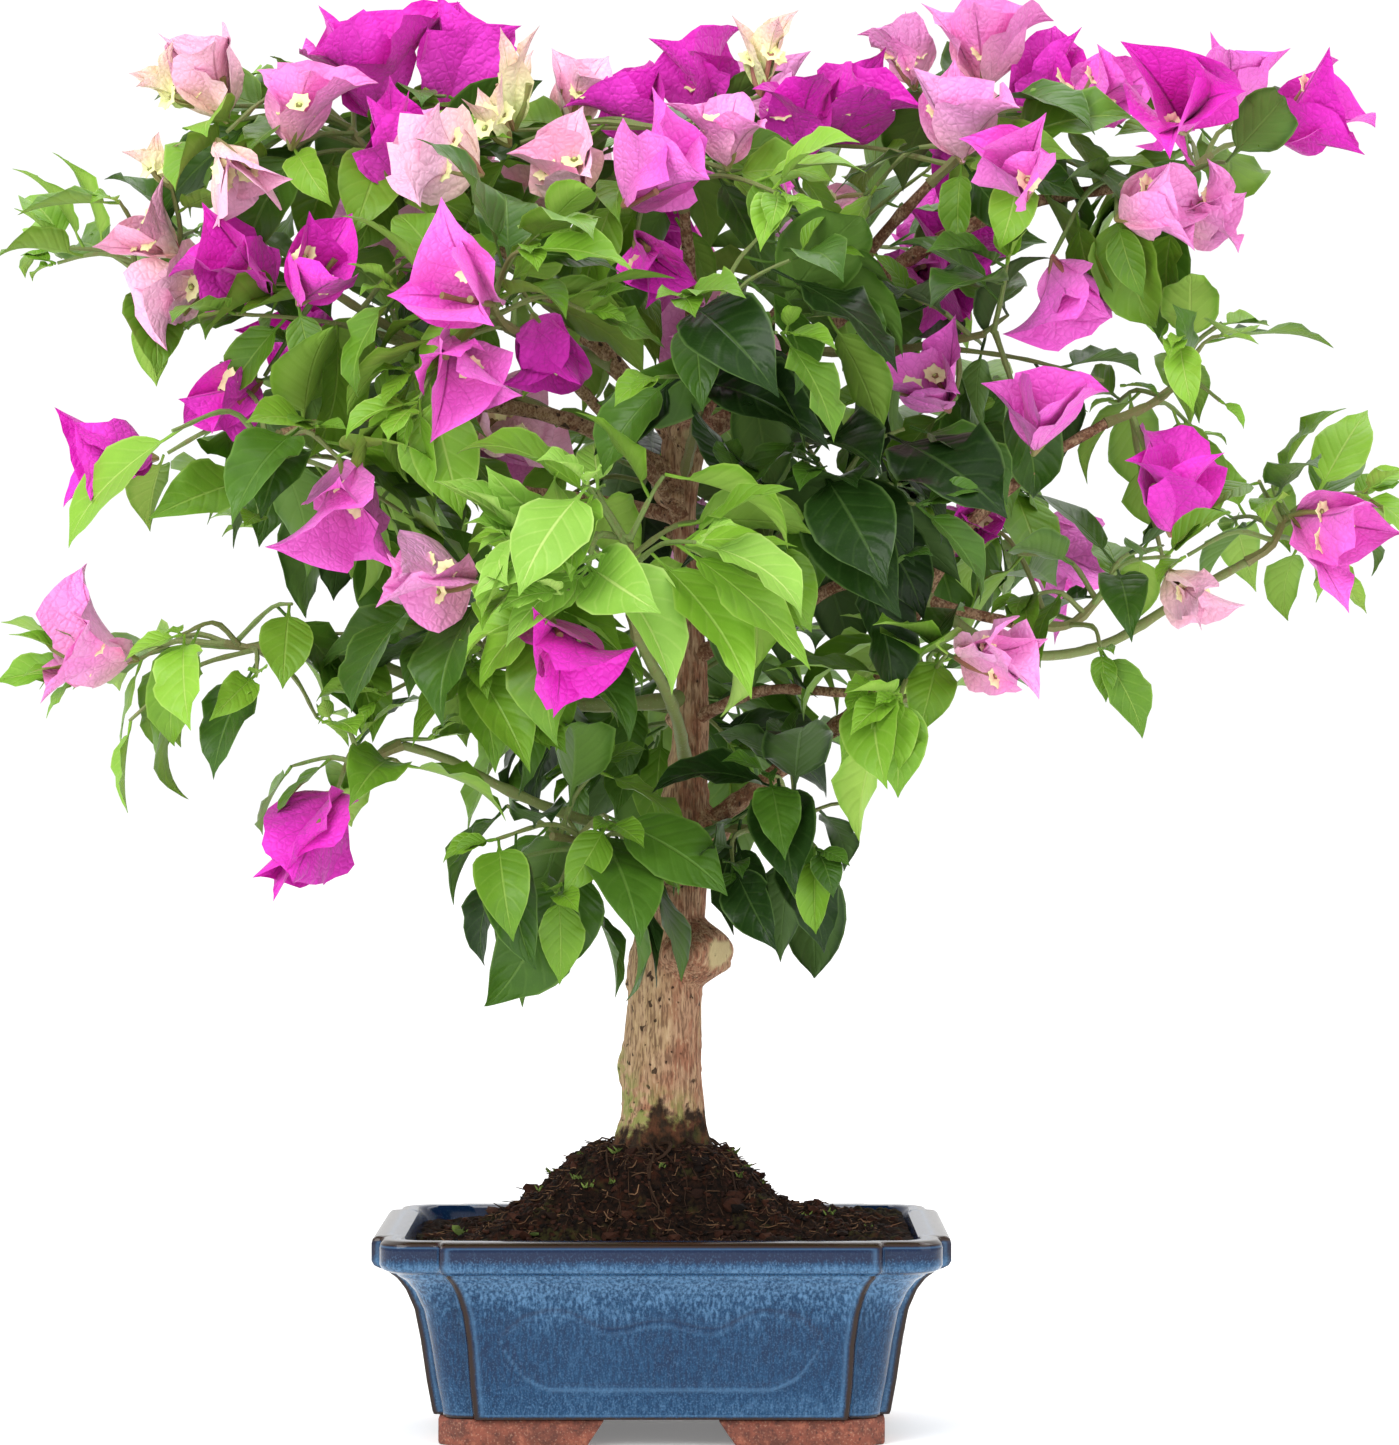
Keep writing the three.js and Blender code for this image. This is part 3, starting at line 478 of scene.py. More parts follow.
class Paint:
    """The nodes of one material, round one Principled shader."""

    def __init__(self, name: str) -> None:
        """Starts a material with its shader alone.

        Args:
            name: The material's name.
        """
        self.colour: Value | tuple = (0.5, 0.5, 0.5)
        self.material = bpy.data.materials.new(name)
        self.material.use_nodes = True
        self.tree = self.material.node_tree
        self.tree.nodes.clear()
        self.shader = self.tree.nodes.new("ShaderNodeBsdfPrincipled")
        output = self.tree.nodes.new("ShaderNodeOutputMaterial")
        self.tree.links.new(self.shader.outputs[0], output.inputs["Surface"])

    def add(self, kind: str, settings: dict, inputs: dict) -> Node:
        """Adds a node.

        Args:
            kind: The node's type.
            settings: Its own properties, set first. "stops" are a colour ramp's.
            inputs: A number, colour or Value for each socket's name or place.

        Returns:
            The node.
        """
        node = self.tree.nodes.new(kind)
        for key, value in settings.items():
            if key == "stops":
                ramp = node.color_ramp
                while len(ramp.elements) < len(value):
                    ramp.elements.new(0.5)
                for element, (position, colour) in zip(ramp.elements, value):
                    element.position = position
                    element.color = (*colour, 1.0)
            else:
                setattr(node, key, value)
        for key, value in inputs.items():
            if isinstance(value, Value):
                self.tree.links.new(value.socket, node.inputs[key])
            else:
                node.inputs[key].default_value = value
        return node

    def node(self, kind: str, settings: dict, inputs: dict, output: int | str = 0) -> Value:
        """Adds a node and gives one of its outputs."""
        return Value(self, self.add(kind, settings, inputs).outputs[output])

    def place(self, scale: Triple = (1.0, 1.0, 1.0)) -> Value:
        """The point in the object's own coordinates, in millimetres, stretched by a scale."""
        point = self.node("ShaderNodeTexCoord", {}, {}, "Object")
        factors = tuple(factor / MM for factor in scale)
        return self.node("ShaderNodeMapping", {}, {"Vector": point, "Scale": factors})

    def noise(self, size: float, detail: float = 3.0, scale: Triple = (1, 1, 1)) -> Value:
        """Cloudy noise whose grains are about this many millimetres across.

        Args:
            size: Their size.
            detail: Octaves of finer noise in it.
            scale: How much it is squeezed along each axis.

        Returns:
            A number near 0.5 that seldom leaves 0.2 to 0.8.
        """
        inputs = {"Vector": self.place(scale), "Scale": 1.0 / size, "Detail": detail}
        return self.node("ShaderNodeTexNoise", {}, inputs)

    def cracks(self, size: float, scale: Triple = (1, 1, 1)) -> Value:
        """The distance to the edges of random cells of this many millimetres."""
        settings = {"feature": "DISTANCE_TO_EDGE"}
        inputs = {"Vector": self.place(scale), "Scale": 1.0 / size}
        return self.node("ShaderNodeTexVoronoi", settings, inputs)

    def mark(self, name: str = "mark") -> Value:
        """A number that the mesh holds for each of its points."""
        return self.node("ShaderNodeAttribute", {"attribute_name": name}, {}, "Fac")

    def leafwise(self) -> tuple[Value, Value]:
        """The share across a blade, from 0 at the midrib to 1 at its edge, and along it."""
        across_share, along_share, _ = self.node("ShaderNodeUVMap", {}, {}).split()
        return abs(across_share * 2 - 1), along_share

    def mix(self, share: "Value | float", low: "Value | tuple", high: "Value | tuple") -> Value:
        """A colour between two, by a share from 0 to 1."""
        settings = {"data_type": "RGBA"}
        colours = [c if isinstance(c, Value) else (*c, 1.0) for c in (low, high)]
        return self.node("ShaderNodeMix", settings, {0: share, 6: colours[0], 7: colours[1]}, 2)

    def lay(self, share: "Value | float", over: "Value | tuple") -> None:
        """Lays a colour over the one so far, by a share from 0 to 1."""
        self.colour = self.mix(share, self.colour, over)

    def set(self, **values: "Value | float | tuple") -> None:
        """Sets or links the shader's sockets, named with underscores for spaces."""
        for key, value in values.items():
            socket = self.shader.inputs[key.replace("_", " ").title().replace("Ior", "IOR")]
            if isinstance(value, Value):
                self.tree.links.new(value.socket, socket)
            elif isinstance(value, tuple) and len(value) == 3 and socket.type == "RGBA":
                socket.default_value = (*value, 1.0)
            else:
                socket.default_value = value

    def bump(self, height: Value, depth: float, strength: float = 1.0) -> None:
        """Roughens the shader's normal by a height from 0 to 1, a depth in millimetres."""
        inputs = {"Height": height, "Distance": depth * MM, "Strength": strength}
        normal = self.node("ShaderNodeBump", {}, inputs)
        self.tree.links.new(normal.socket, self.shader.inputs["Normal"])


@dataclass(frozen=True)
class BlueGlaze:
    """Deep blue glaze, speckled and run, that breaks to brown where it is thin; painted highlights mark its
    worn edges and frames, and painted shade its rim groove.
    """

    deep: tuple = (0.0010, 0.010, 0.042)
    middle: tuple = (0.0035, 0.043, 0.112)
    pale: tuple = (0.095, 0.215, 0.375)
    thin: tuple = (0.024, 0.012, 0.008)

    def make(self) -> Material:
        """Builds the nodes of the finish.

        Returns:
            The material.
        """
        paint = Paint("blue_glaze")
        _, _, height = paint.place().split()
        clouds = paint.noise(30, 3)
        runs = paint.noise(1.0, 3, (1, 1, 0.16))
        speckle = paint.noise(0.55, 2, (1, 1, 0.75))
        broad = paint.noise(9, 3, (1, 1, 0.55))
        run_band = (height + (runs - 0.5) * 22 + (broad - 0.5) * 16).step(38, 66)
        run_band = run_band * height.step(63.0, 61.6)
        foot_band = (height + (broad - 0.5) * 12).step(27, 11)
        low_rim = height.step(61.5, 63) * height.step(70.0, 63.5)
        high_rim = height.step(63.5, 70.5)
        # The groove under the rim is painted darker: painted shade along the ledge.
        groove = height.step(61.2, 61.8) * height.step(62.9, 62.2)
        tone = clouds.step(0.3, 0.75) * 0.14 + runs.step(0.38, 0.66) * 0.26 + 0.22
        tone = tone + run_band * (0.32 + runs * 0.5) + foot_band * 0.2
        tone = tone + low_rim * 0.42 - high_rim * 1.05 - groove * 0.4
        paint.colour = paint.mix(tone.step(0.0, 0.6), self.deep, self.middle)
        paint.lay(tone.step(0.45, 1.25), self.pale)
        bright = 0.26 + run_band * 0.25 + foot_band * 0.2 + low_rim * 0.25 - high_rim * 0.2
        paint.lay(speckle.step(0.5, 0.72) * bright, self.pale)
        paint.lay(speckle.step(0.47, 0.3) * 0.5, self.deep)
        # Painted highlight along the frames' edges where this mark is above 0, and a darker line painted
        # along them where it is below 0.
        frame_edge_light_and_dark = paint.mark("frame")
        paint.lay(frame_edge_light_and_dark.step(0.0, 1.0) * 0.66, self.pale)
        paint.lay(frame_edge_light_and_dark.step(0.0, -1.0) * 0.85, self.deep)
        # Near the panels' edges the glaze is worn thin to brown; in a band just beside that, a pale painted
        # highlight runs along the arris.
        edge_wear_and_highlight = paint.mark()
        paint.lay(edge_wear_and_highlight.step(0.02, 0.2) * edge_wear_and_highlight.step(0.5, 0.25) * 0.28, self.pale)
        worn = (edge_wear_and_highlight + (runs - 0.5) * 0.5).step(0.3, 0.85)
        paint.lay(worn, self.thin)
        paint.set(base_color=paint.colour, roughness=0.12 + runs * 0.1, specular_ior_level=0.24)
        paint.set(coat_weight=0.15, coat_roughness=0.04)
        paint.bump(speckle * 0.3 + runs * 0.5 + clouds, 0.14, 0.45)
        return paint.material


@dataclass(frozen=True)
class RawClay:
    """Bare fired clay of the feet."""

    red: tuple = (0.228, 0.062, 0.036)
    brown: tuple = (0.138, 0.041, 0.025)
    ash: tuple = (0.36, 0.22, 0.15)

    def make(self) -> Material:
        """Builds the nodes of the finish.

        Returns:
            The material.
        """
        paint = Paint("raw_clay")
        patches = paint.noise(7, 4)
        grain = paint.noise(0.8, 3)
        paint.colour = paint.mix(patches.step(0.35, 0.7), self.red, self.brown)
        stains = paint.noise(3.2, 4)
        paint.lay(stains.step(0.5, 0.36) * 0.7, (0.085, 0.026, 0.017))
        paint.lay(stains.step(0.56, 0.68) * 0.4, (0.42, 0.15, 0.085))
        paint.lay(grain.step(0.56, 0.7) * 0.6, self.ash)
        paint.lay(grain.step(0.42, 0.3) * 0.8, (0.05, 0.02, 0.014))
        paint.set(base_color=paint.colour, roughness=0.74 + grain * 0.2)
        paint.bump(grain + patches * 0.5, 0.25, 0.8)
        return paint.material


@dataclass(frozen=True)
class Peat:
    """Dark fibrous peat with damp and mossy patches."""

    dark: tuple = (0.0030, 0.0016, 0.0010)
    brown: tuple = (0.0145, 0.0064, 0.0035)
    rusty: tuple = (0.041, 0.0115, 0.0050)
    moss: tuple = (0.030, 0.032, 0.008)

    def make(self) -> Material:
        """Builds the nodes of the finish.

        Returns:
            The material.
        """
        paint = Paint("peat")
        patches = paint.noise(14, 3)
        grain = paint.noise(1.5, 5)
        crumbs = paint.noise(4, 4)
        paint.colour = paint.mix(grain.step(0.35, 0.68), self.dark, self.brown)
        paint.lay(crumbs.step(0.52, 0.7) * 0.6, self.rusty)
        paint.lay(patches.step(0.55, 0.68) * grain.step(0.4, 0.6) * 0.6, self.moss)
        paint.set(base_color=paint.colour, roughness=0.95, specular_ior_level=0.12)
        paint.bump(grain + crumbs, 0.9, 0.9)
        return paint.material


@dataclass(frozen=True)
class Litter:
    """Fibres, crumbs and moss on the soil, from one colour to another by piece."""

    name: str
    low: tuple
    high: tuple

    def make(self) -> Material:
        """Builds the nodes of the finish.

        Returns:
            The material.
        """
        paint = Paint(self.name)
        grain = paint.noise(0.9, 3)
        paint.colour = paint.mix(paint.mark(), self.low, self.high)
        paint.lay(grain.step(0.45, 0.7) * 0.4, self.low)
        paint.set(base_color=paint.colour, roughness=0.85, specular_ior_level=0.15)
        paint.bump(grain, 0.15)
        return paint.material


@dataclass(frozen=True)
class Bark:
    """Tan and rose bark with fine upright fissures, pits, moss and a soil-stained foot."""

    name: str = "bark"
    grain: float = 0.16
    tan: tuple = (0.440, 0.300, 0.160)
    rose: tuple = (0.325, 0.144, 0.084)
    fissure: tuple = (0.105, 0.048, 0.028)
    pit: tuple = (0.040, 0.022, 0.014)
    moss: tuple = (0.230, 0.280, 0.070)
    stain: tuple = (0.013, 0.0075, 0.0050)
    rusty: tuple = (0.085, 0.027, 0.016)
    cut: tuple = (0.50, 0.40, 0.21)

    def make(self) -> Material:
        """Builds the nodes of the finish.

        Returns:
            The material.
        """
        paint = Paint(self.name)
        x, _, height = paint.place().split()
        right = (x + 16).step(-20, 20) - 0.5
        strands = paint.noise(0.75, 4, (1, 1, self.grain))
        streaks = paint.noise(1.8, 3, (1, 1, self.grain))
        flakes = paint.noise(3.6, 4, (1, 1, min(1.0, 2.5 * self.grain)))
        patches = paint.noise(17, 3, (1, 1, 0.6))
        pits = paint.noise(2.4, 1, (1, 1, 0.8))
        ragged = paint.noise(4.5, 4)
        rosy = patches + right * 0.36
        paint.colour = paint.mix(rosy.step(0.38, 0.62), self.tan, self.rose)
        paint.lay(flakes.step(0.58, 0.42) * 0.5, (0.53, 0.36, 0.22))
        paint.lay(streaks.step(0.5, 0.36) * 0.22, self.fissure)
        paint.lay(streaks.step(0.54, 0.68) * 0.3, (0.62, 0.46, 0.27))
        paint.lay(strands.step(0.52, 0.38) * 0.66, self.fissure)
        paint.lay(strands.step(0.58, 0.72) * 0.55, (0.62, 0.46, 0.29))
        grooves = paint.mark("groove")
        paint.lay(grooves.step(0.25, 1.0) * 0.5, self.fissure)
        paint.lay((pits - right * 0.1).step(0.67, 0.73) * 0.9, self.pit)
        mossy = (height + right * 22 + (patches - 0.5) * 30 + (ragged - 0.5) * 16).step(127, 112)
        paint.lay(mossy * ragged.step(0.42, 0.56) * 0.75, self.moss)
        crease = abs(x + 18).step(5, 0)
        stained = (height - right * 7 - crease * 8 + (ragged - 0.5) * 20).step(112, 107.5)
        soiled = paint.mix(ragged.step(0.42, 0.62), self.stain, self.rusty)
        soiled = paint.mix(flakes.step(0.54, 0.66) * 0.5, soiled, (0.050, 0.060, 0.018))
        paint.lay(stained * 0.96, soiled)
        paint.lay(paint.mark("cut"), self.cut)
        paint.set(base_color=paint.colour, roughness=0.82 + stained * 0.15, specular_ior_level=0.16)
        paint.bump(strands * 1.3 + flakes * 0.8 + ragged * stained * 4.0 - pits.step(0.68, 0.75), 0.7, 1.0)
        return paint.material


@dataclass(frozen=True)
class TwigSkin:
    """Skin of twigs, from green young wood to brown, by the mark of each twig."""

    green: tuple = (0.155, 0.265, 0.060)
    brown: tuple = (0.190, 0.105, 0.050)

    def make(self) -> Material:
        """Builds the nodes of the finish.

        Returns:
            The material.
        """
        paint = Paint("twig_skin")
        streaks = paint.noise(1.4, 3, (1, 1, 0.4))
        spots = paint.noise(0.8, 2)
        paint.colour = paint.mix(paint.mark(), self.green, self.brown)
        paint.lay(streaks.step(0.5, 0.7) * 0.35, self.brown)
        paint.lay(spots.step(0.62, 0.72) * 0.35, (0.42, 0.36, 0.20))
        paint.set(base_color=paint.colour, roughness=0.58 + streaks * 0.15)
        paint.bump(streaks + spots * 0.5, 0.15)
        return paint.material


@dataclass(frozen=True)
class LeafSkin:
    """Green leaf with a paler midrib, side veins and a thin pale edge."""

    name: str
    dark: tuple
    light: tuple
    rib: tuple
    edge: float = 0.45
    gloss: float = 0.36
    shine: float = 0.3
    rib_share: float = 0.55

    def make(self) -> Material:
        """Builds the nodes of the finish.

        Returns:
            The material.
        """
        paint = Paint(self.name)
        middle, along = paint.leafwise()
        clouds = paint.noise(9, 3)
        grain = paint.noise(1.1, 2)
        midrib = middle.step(0.06, 0.015) * along.step(1.0, 0.75)
        lines = abs((along * 6.5 - middle * 1.7).part() - 0.5)
        veins = lines.step(0.11, 0.02) * middle.step(0.98, 0.7)
        margin = middle.step(0.9, 0.99)
        paint.colour = paint.mix(clouds * 0.7 + paint.mark() * 0.75 - 0.25, self.dark, self.light)
        paint.lay(veins * self.rib_share * 0.24 + grain.step(0.55, 0.75) * 0.06, self.rib)
        paint.lay(midrib * self.rib_share, self.rib)
        paint.lay(margin * self.edge, self.rib)
        under = paint.mark("under").step(0.5, 0.9)
        paint.lay(under * 0.38, self.rib)
        paint.set(
            base_color=paint.colour,
            roughness=self.gloss + under * 0.25 + clouds * 0.12,
            specular_ior_level=self.shine,
        )
        paint.bump(lines.step(0.0, 0.3) * 0.6 - midrib + clouds * 1.2 + grain * 0.2, 0.4, 0.6)
        return paint.material


@dataclass(frozen=True)
class BractSkin:
    """Papery bract with fine darker veins and a paler foot."""

    name: str
    colour: tuple
    light: tuple
    foot: tuple
    vein: tuple
    foot_share: float = 0.35
    tip: tuple | None = None

    def make(self) -> Material:
        """Builds the nodes of the finish.

        Returns:
            The material.
        """
        paint = Paint(self.name)
        middle, along = paint.leafwise()
        clouds = paint.noise(11, 3)
        net = paint.cracks(2.6)
        midrib = middle.step(0.045, 0.012) * along.step(0.98, 0.7)
        lines = abs((along * 4.6 - middle * 1.9).part() - 0.5)
        veins = lines.step(0.06, 0.01) * middle.step(0.95, 0.6)
        paint.colour = paint.mix(clouds * 0.8 + paint.mark() * 0.8 - 0.3, self.colour, self.light)
        paint.lay((1 - along.step(0.0, 0.55)) * self.foot_share, self.foot)
        if self.tip:
            paint.lay(along.step(0.35, 0.95), self.tip)
        paint.lay(net.step(0.1, 0.02) * 0.16 + veins * 0.24, self.vein)
        paint.lay(middle.step(0.55, 1.0) * along * 0.3, self.colour)
        paint.lay(midrib * 0.7, self.vein)
        paint.set(base_color=paint.colour, roughness=0.5 + clouds * 0.15, specular_ior_level=0.35)
        paint.set(sheen_weight=0.12, sheen_roughness=0.5)
        paint.bump(net.step(0.0, 0.3) * 0.6 + clouds * 1.6 + lines.step(0.0, 0.3) * 0.8 - midrib, 0.5, 0.6)
        return paint.material


@dataclass(frozen=True)
class FlowerSkin:
    """Skin of the small flowers, from one colour to another by the mark of each."""

    name: str
    low: tuple
    high: tuple
    rough: float = 0.5

    def make(self) -> Material:
        """Builds the nodes of the finish.

        Returns:
            The material.
        """
        paint = Paint(self.name)
        grain = paint.noise(0.7, 2)
        blush = paint.noise(5, 2)
        paint.colour = paint.mix(paint.mark() * 0.75 + blush * 0.5 - 0.12, self.low, self.high)
        paint.lay(grain.step(0.5, 0.75) * 0.2, self.high)
        paint.set(base_color=paint.colour, roughness=self.rough)
        paint.bump(grain, 0.08)
        return paint.material


class LeafTone(Enum):
    """Greens of the leaves, from the oldest to the youngest; the darker ones also serve as painted shade
    inside the crown.
    """

    DARK = 0
    DEEP = 1
    FULL = 2
    FRESH = 3
    YOUNG = 4


class BractTone(Enum):
    """Colours of the bracts."""

    MAGENTA = 0
    ORCHID = 1
    ROSE = 2
    BLUSH = 3
    CREAM = 4


MAGENTA, ORCHID, ROSE, BLUSH, CREAM = BractTone

LEAF_SKINS = {
    LeafTone.DARK: LeafSkin(
        "leaf_dark", (0.006, 0.018, 0.0040), (0.018, 0.052, 0.007), (0.11, 0.20, 0.05), 0.5, 0.24, 0.16, 0.3
    ),
    LeafTone.DEEP: LeafSkin(
        "leaf_deep", (0.024, 0.070, 0.007), (0.070, 0.170, 0.014), (0.17, 0.30, 0.06), 0.45, 0.3, 0.22, 0.36
    ),
    LeafTone.FULL: LeafSkin(
        "leaf_full", (0.075, 0.180, 0.011), (0.155, 0.315, 0.020), (0.29, 0.44, 0.08), 0.4, 0.36, 0.26, 0.45
    ),
    LeafTone.FRESH: LeafSkin(
        "leaf_fresh", (0.135, 0.300, 0.018), (0.235, 0.460, 0.036), (0.42, 0.58, 0.13), 0.4, 0.4
    ),
    LeafTone.YOUNG: LeafSkin(
        "leaf_young", (0.190, 0.385, 0.042), (0.300, 0.540, 0.080), (0.56, 0.70, 0.22), 0.35, 0.44
    ),
}

BRACT_SKINS = {
    MAGENTA: BractSkin(
        "bract_magenta", (0.650, 0.008, 0.460), (0.850, 0.040, 0.640),
        (0.70, 0.14, 0.50), (0.26, 0.006, 0.15), 0.2,
    ),
    ORCHID: BractSkin(
        "bract_orchid", (0.820, 0.085, 0.620), (0.920, 0.220, 0.740),
        (0.80, 0.38, 0.56), (0.36, 0.020, 0.22), 0.3,
    ),
    ROSE: BractSkin(
        "bract_rose", (0.850, 0.230, 0.610), (0.930, 0.410, 0.780),
        (0.84, 0.56, 0.46), (0.42, 0.06, 0.24), 0.5,
    ),
    BLUSH: BractSkin(
        "bract_blush", (0.880, 0.400, 0.610), (0.940, 0.590, 0.760),
        (0.84, 0.70, 0.42), (0.48, 0.14, 0.24), 0.65,
    ),
    CREAM: BractSkin(
        "bract_cream", (0.840, 0.750, 0.420), (0.900, 0.820, 0.560),
        (0.50, 0.68, 0.20), (0.42, 0.46, 0.14), 0.75,
        (0.840, 0.500, 0.540),
    ),
}


@dataclass
class Studio:
    """Camera, soft lights and a plain pale floor that glows a little, as painted light.

    The camera looks level along +Y, from the height and distance that give the photo's frame.
    """

    camera_spot: Triple = (13.2, -1850.0, 250.8)
    lens: float = 129.5
    sensor: float = 36.0
    crown_height: float = 260.0
    floor_radius: float = 9.0
    floor_gap: float = 0.05
    surround: float = 1.05
    floor_glow: float = 0.18

    def build(self) -> None:
        """Makes the camera, the lights, the world and the floor."""
        data = bpy.data.cameras.new("camera")
        data.lens, data.sensor_width, data.clip_end = self.lens, self.sensor, 60.0
        camera = bpy.data.objects.new("camera", data)
        camera.location = placed(*self.camera_spot)
        camera.rotation_euler = (pi / 2, 0.0, 0.0)
        bpy.context.scene.collection.objects.link(camera)
        bpy.context.scene.camera = camera
        bpy.context.scene.view_settings.view_transform = "Standard"
        self._world()
        self._light("key", (-1100, -1500, 1500), 31.0, 1.3)
        self._light("fill", (1500, -1300, 900), 9.0, 1.6)
        self._light("crown", (300, 700, 1900), 16.0, 1.6)
        self._floor()

    def _world(self) -> None:
        """A white surround."""
        world = bpy.data.worlds.new("surround")
        world.use_nodes = True
        background = world.node_tree.nodes["Background"]
        background.inputs["Color"].default_value = (1.0, 1.0, 1.0, 1.0)
        background.inputs["Strength"].default_value = self.surround
        bpy.context.scene.world = world

    def _light(self, name: str, spot: Triple, watts: float, size: float) -> None:
        """A square soft light that faces the crown.

        Args:
            name: Its name.
            spot: Its place, in millimetres from the trunk's foot.
            watts: Its power.
            size: The length of its sides, in metres.
        """
        data = bpy.data.lights.new(name, "AREA")
        data.energy = watts
        data.size = size
        light = bpy.data.objects.new(name, data)
        light.location = placed(*spot)
        aim = placed(0, 0, self.crown_height) - light.location
        light.rotation_euler = aim.to_track_quat("-Z", "Y").to_euler()
        bpy.context.scene.collection.objects.link(light)

    def _floor(self) -> None:
        """A pale floor, level with the feet's undersides, that glows a little as painted light that lifts
        the shadows on it.
        """
        deselect()
        bpy.ops.mesh.primitive_circle_add(
            vertices=64, radius=self.floor_radius, fill_type="NGON", location=placed(0, 0, -self.floor_gap)
        )
        floor = settle(bpy.context.object, "floor")
        paint = Paint("floor")
        cloud = paint.noise(300, 2)
        paint.set(base_color=paint.mix(cloud, (0.94, 0.94, 0.94), (0.96, 0.96, 0.96)), roughness=0.9)
        # A faint glow of the floor itself is painted light: it lifts the shadows on the floor, under the
        # pot too.
        paint.set(specular_ior_level=0.1, emission_color=(1.0, 1.0, 1.0))
        paint.set(emission_strength=self.floor_glow)
        floor.data.materials.append(paint.material)


@dataclass
class Pot:
    """Rectangular pot with four proud panels, rounded set-in corners and a heavy rim.

    Sections are height, half length, width of the corner strip and its depth behind the panels.
    """

    longer: float = 25.0
    corner_round: float = 10.0
    step_slope: float = 1.0
    outside: tuple[Section, ...] = (
        (9.9, 79.4, 15.2, 3.4), (11.0, 79.9, 15.3, 3.6), (22.0, 81.9, 16.2, 3.6),
        (36.0, 83.9, 17.4, 3.6), (47.0, 86.0, 18.0, 3.6), (54.0, 88.9, 19.0, 3.6),
        (58.0, 91.8, 20.2, 3.6), (60.2, 94.6, 21.4, 3.6), (61.0, 95.2, 22.0, 3.6),
        (61.7, 97.6, 23.2, 3.6), (62.8, 99.6, 24.4, 3.6), (64.4, 100.5, 25.0, 3.6),
        (70.4, 100.5, 25.0, 3.6), (71.9, 100.1, 24.8, 3.6), (72.8, 98.9, 24.2, 3.4),
        (73.0, 97.4, 23.6, 3.0),
    )
    inside: tuple[Section, ...] = (
        (73.0, 93.0, 21.0, 1.2), (72.9, 90.6, 20.0, 0.6), (72.1, 89.2, 19.4, 0.0),
        (69.5, 88.0, 19.0, 0.0), (52.0, 82.4, 16.4, 0.0), (24.0, 77.2, 15.0, 0.0),
        (16.0, 73.0, 14.0, 0.0),
    )
    level_step: float = 0.9
    rim_foot: float = 59.0
    rim_half: float = 96.0
    panel_points: tuple[int, int] = (70, 116)
    frame_heights: tuple[float, float] = (12.0, 54.0)
    frame_spans: tuple[float, float] = (55.0, 34.0)
    relief: float = 0.8
    relief_width: float = 1.2
    edge_width: float = 2.3
    thin_rim: tuple[float, float] = (70.7, 71.9)
    thin_foot: tuple[float, float] = (-11.6, -10.4)
    ring_step: float = 0.4

    def _levels(self) -> list[Section]:
        """Puts more sections between the outside ones, so that the relief has points.

        Returns:
            The sections, from the lowest to the highest.
        """
        rows = np.array(self.outside)
        heights = []
        for low, high in zip(rows[:-1, 0], rows[1:, 0]):
            count = max(1, int(math.ceil((high - low) / self.level_step)))
            heights.extend(np.linspace(low, high, count, endpoint=False))
        heights.append(rows[-1, 0])
        columns = [np.interp(heights, rows[:, 0], rows[:, k]) for k in (1, 2, 3)]
        smooth = np.convolve(np.pad(columns[0], 1, mode="edge"), [0.2, 0.6, 0.2], mode="valid")
        columns[0] = np.where(np.array(heights) < self.rim_foot, smooth, columns[0])
        return list(zip(heights, *columns))

    def _plan(self, half: float, corner: float, step: float) -> tuple[Array, Array]:
        """The outline at one height, and how close each point lies to a panel's edge.

        Args:
            half: Half the length, to the faces of the end panels.
            corner: Width of the corner strip beside a panel.
            step: How far the corner strip lies behind the panels.

        Returns:
            The points, anticlockwise from above, and a number from 0 to 1 for each.
        """
        deep = half - self.longer
        slope = self.step_slope if step > 0 else 0.0
        radius = self.corner_round
        short, long = self.panel_points

        def run(a: tuple, b: tuple, count: int) -> Array:
            """Points from a up to b, a little closer together at both ends."""
            even = np.linspace(0, 1, count, endpoint=False)
            shares = 0.5 * ((1 - np.cos(np.linspace(0, pi, count, endpoint=False))) / 2) + 0.5 * even
            return np.array(a) + shares[:, None] * (np.array(b) - np.array(a))

        side = (half, deep - corner)
        side_in = (half - step, deep - corner + slope)
        arc_start = (half - step, deep - step - radius)
        turns = np.linspace(0, pi / 2, 12, endpoint=False)
        sides = np.stack([np.cos(turns), np.sin(turns)], axis=1)
        arc = np.array([half, deep]) - step - radius * (1 - sides)
        arc_end = (half - step - radius, deep - step)
        front_in = (half - corner + slope, deep - step)
        front = (half - corner, deep)
        runs = [run((half, 0), side, short // 2), run(side, side_in, 5), run(side_in, arc_start, 5), arc]
        runs += [run(arc_end, front_in, 5), run(front_in, front, 5), run(front, (0, deep), long // 2)]
        quarter = np.vstack(runs)
        edges = np.array([side, front])
        far = norm(quarter[:, None] - edges[None], axis=2).min(axis=1)
        near = np.exp(-((far / self.edge_width) ** 2)) * min(1.0, step / 3.0)
        near = near * (0.62 if half > self.rim_half else 1.0)
        second = np.vstack([quarter * (-1, 1), [(-half, 0)]])[::-1][:-1]
        near_back = np.concatenate([near, [0.0]])[::-1][:-1]
        upper = np.vstack([quarter, [(0, deep)], second[1:]])
        weights = np.concatenate([near, [0.0], near_back[1:]])
        whole = np.vstack([upper, -upper])
        return self._eased(whole), np.concatenate([weights, weights])

    @staticmethod
    def _eased(points: Array) -> Array:
        """The outline with its sharp turns rounded a little."""
        return 0.25 * np.roll(points, 1, axis=0) + 0.5 * points + 0.25 * np.roll(points, -1, axis=0)

